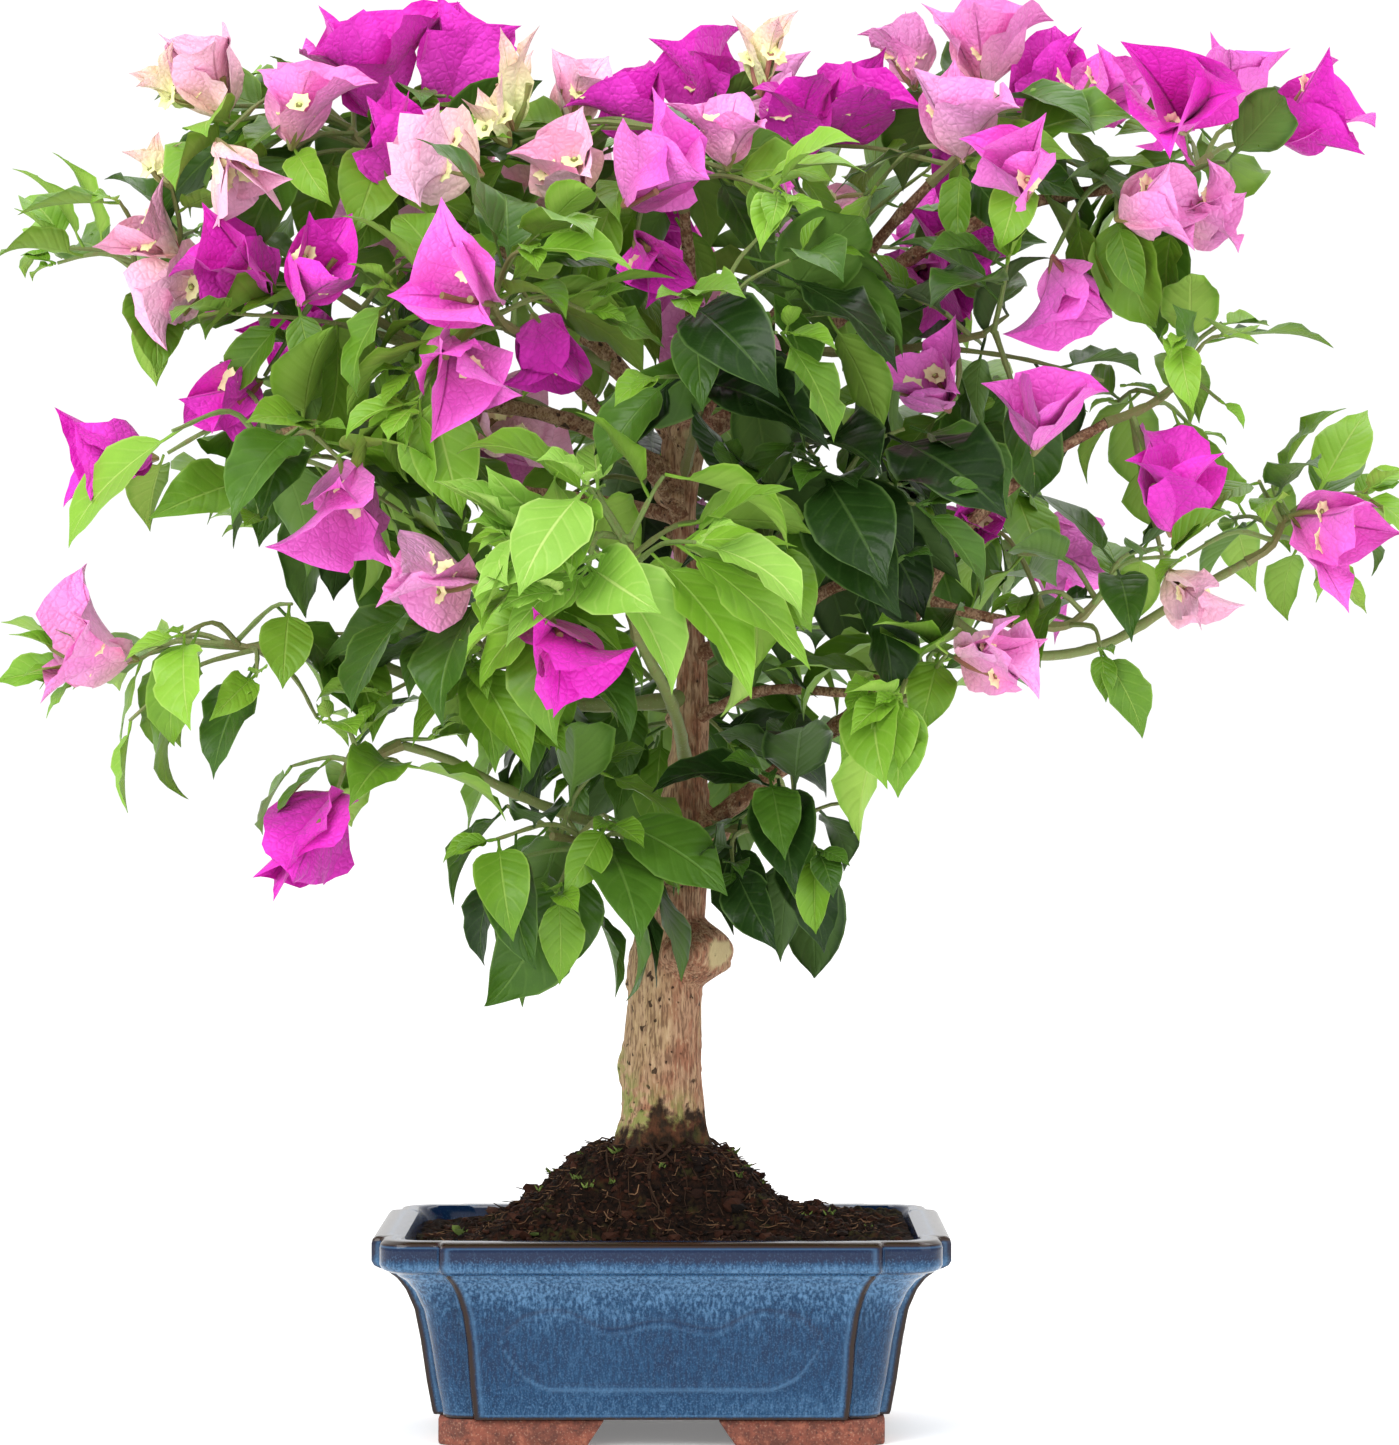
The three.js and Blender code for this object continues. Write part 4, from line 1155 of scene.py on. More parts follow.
    def _cartouche(self, across_panel: Array, height: Array, span: float) -> Array:
        """The height of the lobed frame in low relief at points of a panel.

        Args:
            across_panel: Sideways places on the panel.
            height: Their heights.
            span: Half the frame's length.

        Returns:
            The relief's height in millimetres.
        """
        share = np.abs(across_panel) / span
        top = 42.0 + 1.5 * np.cos(9.5 * share) + 4.0 * smoothstep(share, 0.3, 0.62)
        bottom = 20.8 + 10.0 * np.clip((share - 0.68) / 0.32, 0, 1) ** 1.4
        middle = (top + bottom) / 2
        reach = (top - bottom) / 2
        end = np.clip((1 - share) / 0.14, 0, 1) ** 0.5
        inner = np.minimum(reach * end - np.abs(height - middle), (1 - share) * span)
        ridge = np.exp(-((inner / self.relief_width) ** 2))
        plateau = smoothstep(inner, -self.relief_width, self.relief_width)
        return self.relief * (0.55 * ridge + 0.45 * plateau)

    def build(self) -> None:
        """Models the pot from one ring that is extruded up the outside and down the inside."""
        sections = [*self._levels(), *self.inside]
        plans = [self._plan(half, corner, step) for _, half, corner, step in sections]
        count = len(plans[0][0])
        deselect()
        bpy.ops.mesh.primitive_circle_add(
            vertices=count, radius=80 * MM, fill_type="NGON", location=placed(0, 0, 0)
        )
        pot = bpy.context.object
        with editing(pot):
            for _ in sections[1:]:
                bpy.ops.mesh.extrude_region_move(
                    TRANSFORM_OT_translate={"value": (0, 0, self.ring_step * MM)}
                )
        weights, lines = self._shape(pot.data, sections, plans, count)
        mark_points(pot.data, mark=weights, frame=lines)
        settle(pot, "pot_glazed", 35.0)
        face_outward(pot)
        pot.data.materials.append(BlueGlaze().make())
        finish_piece(pot, ["pot"])

    def _shape(
        self, mesh: Mesh, sections: list[Section], plans: list[tuple[Array, Array]], count: int
    ) -> tuple[Array, Array]:
        """Draws each extruded ring out to its section.

        Args:
            mesh: The pot as extruded, a straight stack of rings.
            sections: Height and sizes of each ring.
            plans: Outline of each ring, and its closeness to the panels' edges.
            count: Points in a ring.

        Returns:
            How thin the glaze lies at each point, from 0 to 1, which also sets a painted highlight
            beside the edges, and where a frame's edge gets a painted highlight, above 0, or is painted
            darker, below 0.
        """
        places = np.zeros(len(mesh.vertices) * 3)
        mesh.vertices.foreach_get("co", places)
        places = places.reshape(-1, 3)
        rows = np.rint(places[:, 2] / (self.ring_step * MM)).astype(int)
        turns = np.arctan2(-places[:, 0], places[:, 1])
        order = np.rint(turns / TURN * count).astype(int) % count
        weights, lines = np.zeros((2, len(places)))
        outside = len(sections) - len(self.inside)
        for row, ((height, half, _, _), (plan, near)) in enumerate(zip(sections, plans)):
            chosen = np.nonzero(rows == row)[0]
            spots = order[chosen]
            flat = plan[spots].copy()
            thin = near[spots].copy()
            if row < outside:
                raised = self._proud(flat, height, half)
                below = self._proud(flat, height - self.level_step, half)
                lines[chosen] = 1.7 * (raised - below).sum(axis=1) * np.sign(
                    np.take_along_axis(flat, np.abs(raised).argmax(axis=1)[:, None], axis=1)[:, 0]
                )
                flat += raised
                thin = np.maximum(thin, smoothstep(height, *self.thin_rim))
                thin = np.maximum(thin, 0.8 * smoothstep(-height, *self.thin_foot))
            places[chosen, :2] = flat * MM
            places[chosen, 2] = height * MM
            weights[chosen] = thin
        mesh.vertices.foreach_set("co", places.ravel())
        mesh.update()
        return weights, lines

    def _proud(self, flat: Array, height: float, half: float) -> Array:
        """How far points of one ring are pushed out by the frames on the panels.

        Args:
            flat: The ring's points.
            height: Its height.
            half: Half the length there.

        Returns:
            The push for each point.
        """
        push = np.zeros_like(flat)
        if not self.frame_heights[0] < height < self.frame_heights[1]:
            return push
        for axis, face, span in zip((1, 0), (half - self.longer, half), self.frame_spans):
            on_panel = np.abs(np.abs(flat[:, axis]) - face) < 0.4
            relief = self._cartouche(flat[:, 1 - axis], np.full(len(flat), height), span)
            push[:, axis] += np.where(on_panel, np.sign(flat[:, axis]) * relief, 0.0)
        return push


@dataclass
class Feet:
    """Four clay feet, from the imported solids, with worn edges and a rough skin."""

    names: tuple[str, ...] = ("foot_front_left", "foot_front_right", "foot_back_left", "foot_back_right")
    edge: float = 0.9
    lumps: float = 5.0
    roughness: float = 0.14
    ground: float = 0.2

    def build(self) -> None:
        """Models each foot from a merged copy of its solid."""
        clay = RawClay().make()
        for name in self.names:
            foot = frame["nodes"][name].copy()
            foot.data = foot.data.copy()
            foot.parent = None
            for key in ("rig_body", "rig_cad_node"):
                if key in foot:
                    del foot[key]
            bpy.context.scene.collection.objects.link(foot)
            with editing(foot):
                bpy.ops.mesh.remove_doubles(threshold=0.02 * MM)
                bpy.ops.mesh.dissolve_limited(angle_limit=math.radians(4))
                bpy.ops.mesh.bevel(offset=self.edge * MM, segments=2, affect="EDGES")
                bpy.ops.mesh.quads_convert_to_tris()
                bpy.ops.mesh.subdivide(number_cuts=3)
            self._roughen(foot)
            settle(foot, f"{name}_clay", 30.0)
            foot.data.materials.clear()
            foot.data.materials.append(clay)
            finish_piece(foot, [name])

    def _roughen(self, foot: Object) -> None:
        """Moves the skin in and out a little, but never below the ground.

        Args:
            foot: The foot.
        """
        for corner in foot.data.vertices:
            if corner.co.z >= self.ground * MM:
                push = noise.noise(corner.co / (self.lumps * MM)) * self.roughness * MM
                corner.co += corner.normal * push


@dataclass
class Soil:
    """Mound of peat, with fibres, crumbs and moss that lie on it."""

    half: float = 87.4
    longer: float = 25.0
    corner: float = 9.0
    edges: tuple[float, float] = (67.5, 71.0)
    seat_height: float = 99.7
    seat_radius: float = 22.0
    swells: tuple[float, float] = (1.7, 3.0)
    lumps: tuple[tuple[float, float], ...] = ((15, 3.4), (6.5, 3.2), (2.7, 1.9))
    skirt: float = 5.0
    cells: tuple[int, int] = (230, 165)
    fibres: int = 2300
    crumbs: int = 3600
    roots: int = 15
    moss_tufts: int = 26
    seedlings: int = 7
    seed: int = 61

    def height(self, x: float, y: float) -> float:
        """The soil's level at one place, with its lumps.

        Args:
            x: Its place to the side.
            y: Its place in depth.

        Returns:
            The level above the ground, in millimetres.
        """
        reach = math.hypot(x, y)
        deep = self.half - self.longer
        cosine, sine = abs(x) / max(reach, 1e-6), abs(y) / max(reach, 1e-6)
        edge = min(self.half / max(cosine, 1e-6), deep / max(sine, 1e-6))
        share = min(1.0, max(0.0, (edge - reach) / (edge - self.seat_radius)))
        left, right = self.edges
        level = left + (right - left) * (x + self.half) / (2 * self.half)
        swell = self.swells[0] + (self.swells[1] - self.swells[0]) * smoothstep(x, -10, 22)
        shelf = 5.5 * math.exp(-(((x - 56) / 15) ** 2) - (y / 38) ** 2)
        base = level + (self.seat_height - level) * smoothstep(share**swell, 0, 1) + shelf
        spot = Vector((x, y, 0))
        lumps = sum(rise * noise.noise(spot / size) for size, rise in self.lumps)
        seat = smoothstep(reach, self.seat_radius * 0.6, self.seat_radius * 1.3)
        return base + lumps * (0.35 + 0.65 * seat) * min(1.0, 0.4 + share * 4)

    def build(self) -> None:
        """Models the mound and scatters what lies on it."""
        deselect()
        bpy.ops.mesh.primitive_grid_add(
            x_subdivisions=self.cells[0], y_subdivisions=self.cells[1], size=2, location=placed(0, 0, 0)
        )
        soil = bpy.context.object
        for corner in soil.data.vertices:
            x, y = self._flat(corner.co.x, corner.co.y)
            corner.co = Vector((x, y, self.height(x, y))) * MM
        with editing(soil):
            bpy.ops.mesh.region_to_loop()
            bpy.ops.mesh.extrude_region_move(TRANSFORM_OT_translate={"value": (0, 0, -self.skirt * MM)})
            bpy.ops.mesh.edge_face_add()
        face_outward(soil)
        settle(soil, "soil_mound", 80.0)
        soil.data.materials.append(Peat().make())
        finish_piece(soil, ["soil"])
        self._scatter()

    def _flat(self, u: float, v: float) -> tuple[float, float]:
        """Moves a point of the square from -1 to 1 into the pot's rounded inside.

        Args:
            u: Its place to the side in the square.
            v: Its place in depth in the square.

        Returns:
            Its place in the pot, in millimetres.
        """
        deep = self.half - self.longer
        x, y = u * self.half, v * deep
        over_x, over_y = abs(x) - (self.half - self.corner), abs(y) - (deep - self.corner)
        if over_x > 0 and over_y > 0:
            far = math.hypot(over_x, over_y)
            most = max(over_x, over_y)
            over_x, over_y = over_x * most / far, over_y * most / far
            x = math.copysign(self.half - self.corner + over_x, x)
            y = math.copysign(deep - self.corner + over_y, y)
        return x, y

    def _spot(self, draw: Draws) -> Array:
        """A random place on the mound, more often near the trunk.

        Args:
            draw: The numbers for what varies.

        Returns:
            A point on its surface.
        """
        reach = draw() ** 0.75
        turn = TURN * draw()
        x = cos(turn) * reach * (self.half - 3)
        y = sin(turn) * reach * (self.half - self.longer - 3)
        return np.array([x, y, self.height(x, y)])

    def _scatter(self) -> None:
        """Fibres, crumbs and moss as joined meshes."""
        draw = Draws(self.seed)
        fibres, crumbs, moss = Parts(), Parts(), Parts()
        for _ in range(self.fibres):
            spot = self._spot(draw)
            turn = TURN * draw()
            length = draw.between(1.8, 7.0) * (1.9 if draw() > 0.94 else 1.0)
            lift = draw.between(-0.05, 0.42) ** 2 * 2
            ahead = np.array([cos(turn), sin(turn), lift])
            bend = np.array([-sin(turn), cos(turn), 0.6]) * draw.between(-0.35, 0.35)
            shares = np.linspace(0, 1, 5)[:, None]
            path = spot + ahead * length * (shares - 0.3) + bend * length * (shares - 0.5) ** 2
            ground = np.array([self.height(x, y) for x, y, _ in path])
            path[:, 2] = np.maximum(path[:, 2], ground + 0.15)
            radius = draw.between(0.09, 0.28)
            fibres.tube(path, np.full(5, radius) * np.array([0.7, 1, 1, 0.9, 0.4]), 4, draw() ** 3.6)
        for _ in range(self.crumbs):
            spot = self._spot(draw)
            self._crumb(crumbs, spot, draw.between(0.4, 1.6) * (2.7 if draw() > 0.965 else 1), draw)
        for _ in range(self.roots):
            fibres.tube(*self._root(draw), 6, 0.04 + 0.18 * draw())
        for _ in range(self.moss_tufts):
            spot = self._spot(draw)
            for _ in range(9):
                turn = TURN * draw()
                lean = np.array([cos(turn), sin(turn), draw.between(0.5, 1.6)])
                foot = spot + np.array([draw() - 0.5, draw() - 0.5, 0]) * 3.4
                shares = np.linspace(0, 1, 4)[:, None]
                path = foot + unit(lean) * draw.between(1.2, 3.2) * shares
                moss.tube(path, np.array([0.28, 0.34, 0.26, 0.06]), 4, draw())
        for _ in range(self.seedlings):
            turn = -pi * draw()
            x, y = cos(turn) * (self.half - 14), sin(turn) * (self.half - self.longer - 8)
            self._crumb(moss, np.array([x, y, self.height(x, y) + 1.6]), 2.1, draw)
        for name, parts, low, high in (
            ("soil_fibres", fibres, (0.014, 0.0065, 0.004), (0.22, 0.120, 0.062)),
            ("soil_crumbs", crumbs, (0.0028, 0.0015, 0.0010), (0.046, 0.0155, 0.0080)),
            ("soil_moss", moss, (0.040, 0.062, 0.012), (0.16, 0.23, 0.05)),
        ):
            piece = parts.make(name)
            piece.data.materials.append(Litter(name, low, high).make())
            finish_piece(piece)

    def _root(self, draw: Draws) -> tuple[Array, Array]:
        """Lays out a thin root that runs down the mound from the trunk's foot.

        Args:
            draw: The numbers for what varies.

        Returns:
            Its path, and its radius at each point.
        """
        turn, length = TURN * draw(), draw.between(16, 44)
        bend, wave = draw.between(-0.9, 0.9), 6.3 * draw()
        reach = np.linspace(0, 1, 14)
        turns = turn + bend * reach**1.5 + 0.12 * np.sin(9 * reach + wave)
        far = 14.0 + length * reach
        flat = np.stack([far * np.cos(turns), far * np.sin(turns)], axis=1)
        lift = 0.7 + 0.8 * np.sin(11 * reach + 2 * wave) + 2.5 * (1 - reach) ** 3
        levels = np.array([self.height(x, y) for x, y in flat]) + lift
        return np.column_stack([flat, levels]), draw.between(0.35, 0.8) * (1.1 - 0.8 * reach)

    @staticmethod
    def _crumb(crumbs: Parts, spot: Array, size: float, draw: Draws) -> None:
        """Adds one lumpy crumb, a squashed and twisted cuboctahedron.

        Args:
            crumbs: The shapes that it joins.
            spot: Its middle.
            size: Its size.
            draw: The numbers for what varies.
        """
        shape = np.array(
            [(x, y, 0) for x in (-1, 1) for y in (-1, 1)]
            + [(x, 0, z) for x in (-1, 1) for z in (-1, 1)]
            + [(0, y, z) for y in (-1, 1) for z in (-1, 1)],
            float,
        )
        shape *= np.array([[draw.between(0.7, 1.25)] for _ in range(len(shape))])
        shape *= np.array([size, size * draw.between(0.6, 1), size * draw.between(0.45, 0.8)]) * 0.7
        turn = TURN * draw()
        cosine, sine = cos(turn), sin(turn)
        spin = np.array([[cosine, sine, 0], [-sine, cosine, 0], [0, 0, 1]])
        faces = [
            (0, 4, 8), (0, 9, 5), (1, 10, 4), (1, 5, 11), (2, 8, 6), (2, 7, 9), (3, 6, 10), (3, 11, 7),
            (0, 5, 1, 4), (2, 6, 3, 7), (0, 8, 2, 9), (1, 11, 3, 10), (4, 10, 6, 8), (5, 9, 7, 11),
        ]
        crumbs.add(shape @ spin + spot, faces, draw())


@dataclass(frozen=True)
class Knob:
    """A pruned branch's stump on the trunk: height, turn, reach, radius and a cut or healed end."""

    height: float
    turn: float
    reach: float
    radius: float
    cut: float


@dataclass
class Trunk:
    """Trunk with its flare, lean, bark relief, pruned knobs and the swollen fork.

    Stations are height, sideways shift and radius.
    """

    stations: tuple[Triple, ...] = (
        (92, 0, 21.0), (97, 0, 19.4), (102, 0, 17.0), (108, 0, 15.6), (120, 0, 14.8), (134, 0, 14.4),
        (150, 0.6, 14.0), (166, 1.2, 13.6), (182, 2.8, 13.0), (196, 4.5, 12.2), (212, 6.8, 10.4),
        (228, 8.2, 8.0), (246, 10.0, 6.8), (264, 11.2, 6.0), (290, 9.6, 5.0), (315, 8.0, 4.4),
        (332, 7.2, 4.6), (341, 7.2, 7.6), (349, 7.5, 9.2), (356, 7.8, 6.4), (359, 8.0, 3.0),
    )
    knobs: tuple[Knob, ...] = (
        Knob(168, -0.5, 21.8, 7.8, 1.0),
        Knob(211, 0.2, 16.4, 6.2, 0.6),
        Knob(128, 2.7, 15.9, 5.4, 0.0),
        Knob(252, 2.2, 9.6, 3.6, 0.4),
        Knob(331, 3.5, 9.2, 3.6, 0.5),
        Knob(352, -1.2, 11.6, 4.4, 0.9),
        Knob(188, -1.9, 14.6, 3.4, 0.0),
    )
    sides: int = 40
    flare: float = 0.13
    flare_height: float = 22.0
    crease: Triple = (-1.72, 0.16, 3.0)
    cuts: Triple = (94.0, 357.0, 1.25)

    def shift(self, height: float) -> float:
        """How far the middle lies to the side at one height."""
        rows = np.array(self.stations)
        return float(np.interp(height, rows[:, 0], rows[:, 1]))

    def build(self) -> Object:
        """Models the trunk from a circle, extruded and resized from station to station.

        Returns:
            The trunk.
        """
        deselect()
        height, shift, radius = self.stations[0]
        bpy.ops.mesh.primitive_circle_add(
            vertices=self.sides, radius=radius * MM, fill_type="NGON", location=placed(shift, 0, height)
        )
        trunk = bpy.context.object
        with editing(trunk):
            for low, high in zip(self.stations, self.stations[1:]):
                move = Vector((high[1] - low[1], 0, high[0] - low[0])) * MM
                bpy.ops.mesh.extrude_region_move(TRANSFORM_OT_translate={"value": move})
                factor = high[2] / low[2]
                bpy.ops.transform.resize(
                    value=(factor, factor, 1), center_override=placed(high[1], 0, high[0])
                )
        smooth = trunk.modifiers.new("smooth", "SUBSURF")
        smooth.levels = smooth.render_levels = 2
        bpy.ops.object.modifier_apply(modifier="smooth")
        bpy.ops.object.transform_apply(location=True, rotation=True, scale=True)
        face_outward(trunk)
        self._even(trunk)
        self._relief(trunk.data)
        settle(trunk, "trunk_bark", 80.0)
        return trunk

    def _even(self, trunk: Object) -> None:
        """Cuts the long faces of the trunk level, so that the bark has points all the way up.

        Args:
            trunk: The smooth trunk.
        """
        with editing(trunk):
            for level in np.arange(*self.cuts):
                bpy.ops.mesh.bisect(plane_co=placed(0, 0, level), plane_no=(0, 0, 1))
                bpy.ops.mesh.select_all(action="SELECT")
            bpy.ops.mesh.remove_doubles(threshold=0.12 * MM)

    def _relief(self, mesh: Mesh) -> None:
        """Gives the trunk's skin its flare, knobs and bark.

        Args:
            mesh: The trunk's mesh.
        """
        grooves, cuts = np.zeros((2, len(mesh.vertices)))
        for corner in mesh.vertices:
            spot = (corner.co - HOME) / MM
            middle = self.shift(spot.z)
            flat = Vector((spot.x - middle, spot.y, 0))
            reach = flat.length
            if reach < 0.5:
                continue
            out = flat / reach
            turn = math.atan2(flat.y, flat.x)
            low = max(0.0, 1 - (spot.z - 100) / self.flare_height)
            lobes = cos(3 * turn + 0.4) - cos(turn) + 0.4 * cos(7 * turn + 1.0)
            reach *= 1 + self.flare * low * low * lobes
            crease = math.exp(-(((turn - self.crease[0]) / self.crease[1]) ** 2)) * low**1.5
            reach -= self.crease[2] * crease
            reach, cut = self._knobbed(spot, reach, turn)
            grain = noise.noise(Vector((spot.x * 0.62, spot.y * 0.62, spot.z * 0.075)))
            fine = noise.noise(Vector((spot.x * 1.5, spot.y * 1.5, spot.z * 0.2)))
            lumps = noise.noise(spot / 13)
            warts = max(0.0, noise.noise(spot / 4.6 + Vector((9, 3, 5))) - 0.32)
            size = min(1.0, reach / 9)
            groove = min(1.0, max(0.0, -grain * 1.5 - 0.1) + max(0.0, -fine * 0.8 - 0.12))
            reach += size * (0.85 * lumps + 0.3 * grain + 0.2 * fine + 1.8 * warts - 0.6) * (1 - 0.8 * cut)
            grooves[corner.index] = max(groove * (1 - cut), crease)
            cuts[corner.index] = cut
            corner.co = HOME + (Vector((middle, 0, spot.z)) + out * reach) * MM
        mark_points(mesh, groove=grooves, cut=cuts)
        mesh.update()

    def _knobbed(self, spot: Vector, reach: float, turn: float) -> tuple[float, float]:
        """The skin's reach where a knob may swell it.

        Args:
            spot: A point of the skin.
            reach: Its distance from the trunk's middle.
            turn: The side on which it lies, in radians.

        Returns:
            The new distance, and how much of the skin there is a cut face.
        """
        cut = 0.0
        for knob in self.knobs:
            side = math.remainder(turn - knob.turn, TURN)
            if abs(side) > 1.3:
                continue
            beside = reach * sin(side)
            above = spot.z - knob.height - 0.12 * (knob.reach - reach)
            away = math.hypot(beside, above) / knob.radius
            if away > 1.9:
                continue
            face = knob.reach / max(0.4, cos(side))
            swollen = 1 - smoothstep(away, 0.72, 1.75)
            if face > reach:
                reach += (face - reach) * swollen
                ragged = 0.22 * noise.noise(spot / 2.6)
                cut = max(cut, knob.cut * smoothstep(ragged - away, -0.72, -0.55))
        return reach, cut


@dataclass(frozen=True)
class Bough:
    """A limb: what carries it, how far along, the points it passes and its radius at both ends."""

    name: str
    carrier: str
    at: float
    base: float
    tip: float
    via: tuple[Triple, ...]


BOUGHS = (
    Bough(
        "left_out", "trunk", 0.955, 3.2, 1.9,
        ((-36, -20, 358), (-77, -35, 362), (-115, -42, 355), (-132, -44, 351)),
    ),
    Bough("top_left", "trunk", 1, 3.6, 2.0, ((-34, 0, 398), (-62, -6, 424), (-90, -8, 444))),
    Bough("top_mid", "trunk", 1, 3.2, 1.9, ((11, -10, 390), (8, -28, 430))),
    Bough(
        "right_top", "trunk", 1, 3.8, 1.9,
        ((35, 5, 368), (56, 0, 389), (90, -5, 417), (128, -10, 434), (162, -15, 440)),
    ),
    Bough("back_top_left", "trunk", 1, 2.8, 1.8, ((-12, 22, 372), (-36, 48, 398))),
    Bough("back_top_right", "trunk", 1, 2.8, 1.8, ((22, 24, 374), (42, 50, 402))),
    Bough("far_left", "top_left", 0.28, 2.2, 1.6, ((-69, 22, 398), (-119, 12, 414), (-152, -2, 415))),
    Bough("top_right", "right_top", 0.36, 2.4, 1.8, ((74, -12, 418), (94, -24, 440))),
    Bough("star", "trunk", 0.9, 2.4, 1.7, ((-18, -38, 356), (-46, -78, 382))),
    Bough(
        "left_low", "trunk", 0.64, 2.8, 1.7,
        ((-30, -18, 257), (-81, -34, 265), (-104, -38, 273), (-128, -40, 278)),
    ),
    Bough(
        "low_bloom", "trunk", 0.45, 2.2, 1.6,
        ((-22, -18, 215), (-49, -34, 225), (-77, -44, 239), (-90, -47, 243)),
    ),
    Bough(
        "right_shoot", "trunk", 0.43, 3.4, 1.8,
        ((49, -10, 240), (73, -16, 260), (89, -20, 289), (106, -24, 318), (139, -24, 346), (156, -22, 356)),
    ),
    Bough(
        "right_lower", "trunk", 0.7, 2.6, 1.7,
        ((45, -15, 289), (62, -20, 299), (80, -24, 299), (98, -26, 292), (126, -24, 285)),
    ),
    Bough(
        "far_right", "right_lower", 0.72, 2.0, 1.5,
        ((122, -10, 276), (156, 6, 278), (190, 4, 298), (208, 2, 308)),
    ),
    Bough("right_low", "trunk", 0.61, 2.2, 1.6, ((36, -26, 262), (66, -46, 261))),
    Bough("front", "trunk", 0.54, 2.4, 1.7, ((4, -44, 256), (-8, -86, 280))),
    Bough("back_left", "trunk", 0.9, 2.8, 1.7, ((-32, 30, 332), (-76, 56, 338))),
    Bough("back_mid", "trunk", 0.8, 2.6, 1.7, ((6, 34, 312), (-4, 74, 334))),
    Bough("back_right", "trunk", 0.74, 2.8, 1.7, ((34, 32, 302), (68, 62, 334))),
)


@dataclass
class Limbs:
    """The boughs, and the trunk's middle line that they and the stems leave."""

    trunk: Trunk
    sides: int = 14
    spacing: float = 2.4
    node_spacing: float = 23.0
    green: frozenset[str] = frozenset({"low_bloom", "left_low", "front", "far_left", "far_right"})
    lines: dict[str, Path] = field(default_factory=dict)

    def trace(self) -> None:
        """Works out the middle line of the trunk and of each bough."""
        stations = [(shift, 0, height) for height, shift, _ in self.trunk.stations if 100 < height <= 349]
        self.lines["trunk"] = Path([(0, 0, 100), *stations])
        for bough in BOUGHS:
            start = self.lines[bough.carrier].at(bough.at)
            self.lines[bough.name] = Path([start, *bough.via])

    def build(self, trunk_piece: Object) -> None:
        """Makes the boughs with bark relief, old wood apart from green shoots.

        Args:
            trunk_piece: The modelled trunk, which gets the same bark.
        """
        trunk_piece.data.materials.append(Bark().make())
        finish_piece(trunk_piece, ["trunk"])
        woody, young = Parts(), Parts()
        for bough in BOUGHS:
            line = self.lines[bough.name]
            path = spline(line.points[:: max(1, len(line.points) // 24)], self.spacing)
            path = np.vstack([path, [line.at(1.0)]]) if np.any(path[-1] != line.at(1.0)) else path
            shares = np.linspace(0, 1, len(path))
            far = shares * line.length
            radii = bough.base + (bough.tip - bough.base) * shares
            radii *= 1 + 0.55 * np.exp(-far / 6.0)
            radii *= 1 + 0.16 * np.exp(-(((far % self.node_spacing) / 2.2 - 1.2) ** 2))
            parts = young if bough.name in self.green else woody
            parts.tube(path, radii, self.sides, 0.35, self._bark)
        for name, parts, replaced in (
            ("boughs_bark", woody, [b for b in BOUGHS if b.name not in self.green]),
            ("boughs_green", young, [b for b in BOUGHS if b.name in self.green]),
        ):
            piece = parts.make(name, 80.0)
            wood = Bark("bough_bark", 0.7, (0.30, 0.185, 0.095), (0.215, 0.098, 0.054))
            piece.data.materials.append((wood if parts is woody else TwigSkin()).make())
            finish_piece(piece, [f"bough_{b.name}" for b in replaced])

    @staticmethod
    def _bark(corner: Array) -> float:
        """How far a bough's skin stands out at a point."""
        spot = Vector(corner)
        return 0.1 * noise.noise(spot / 2.2) + 0.32 * noise.noise(spot / 7)


@dataclass(frozen=True)
class Mass:
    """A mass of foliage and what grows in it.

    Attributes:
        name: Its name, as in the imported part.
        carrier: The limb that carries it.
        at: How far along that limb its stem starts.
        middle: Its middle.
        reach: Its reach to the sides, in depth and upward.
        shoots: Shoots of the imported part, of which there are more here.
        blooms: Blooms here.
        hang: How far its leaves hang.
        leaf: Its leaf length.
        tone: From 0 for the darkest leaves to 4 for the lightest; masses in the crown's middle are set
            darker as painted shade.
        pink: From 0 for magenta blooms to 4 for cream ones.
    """

    name: str
    carrier: str
    at: float
    middle: Triple
    reach: Triple
    shoots: int
    blooms: int
    hang: float
    leaf: float
    tone: float
    pink: float


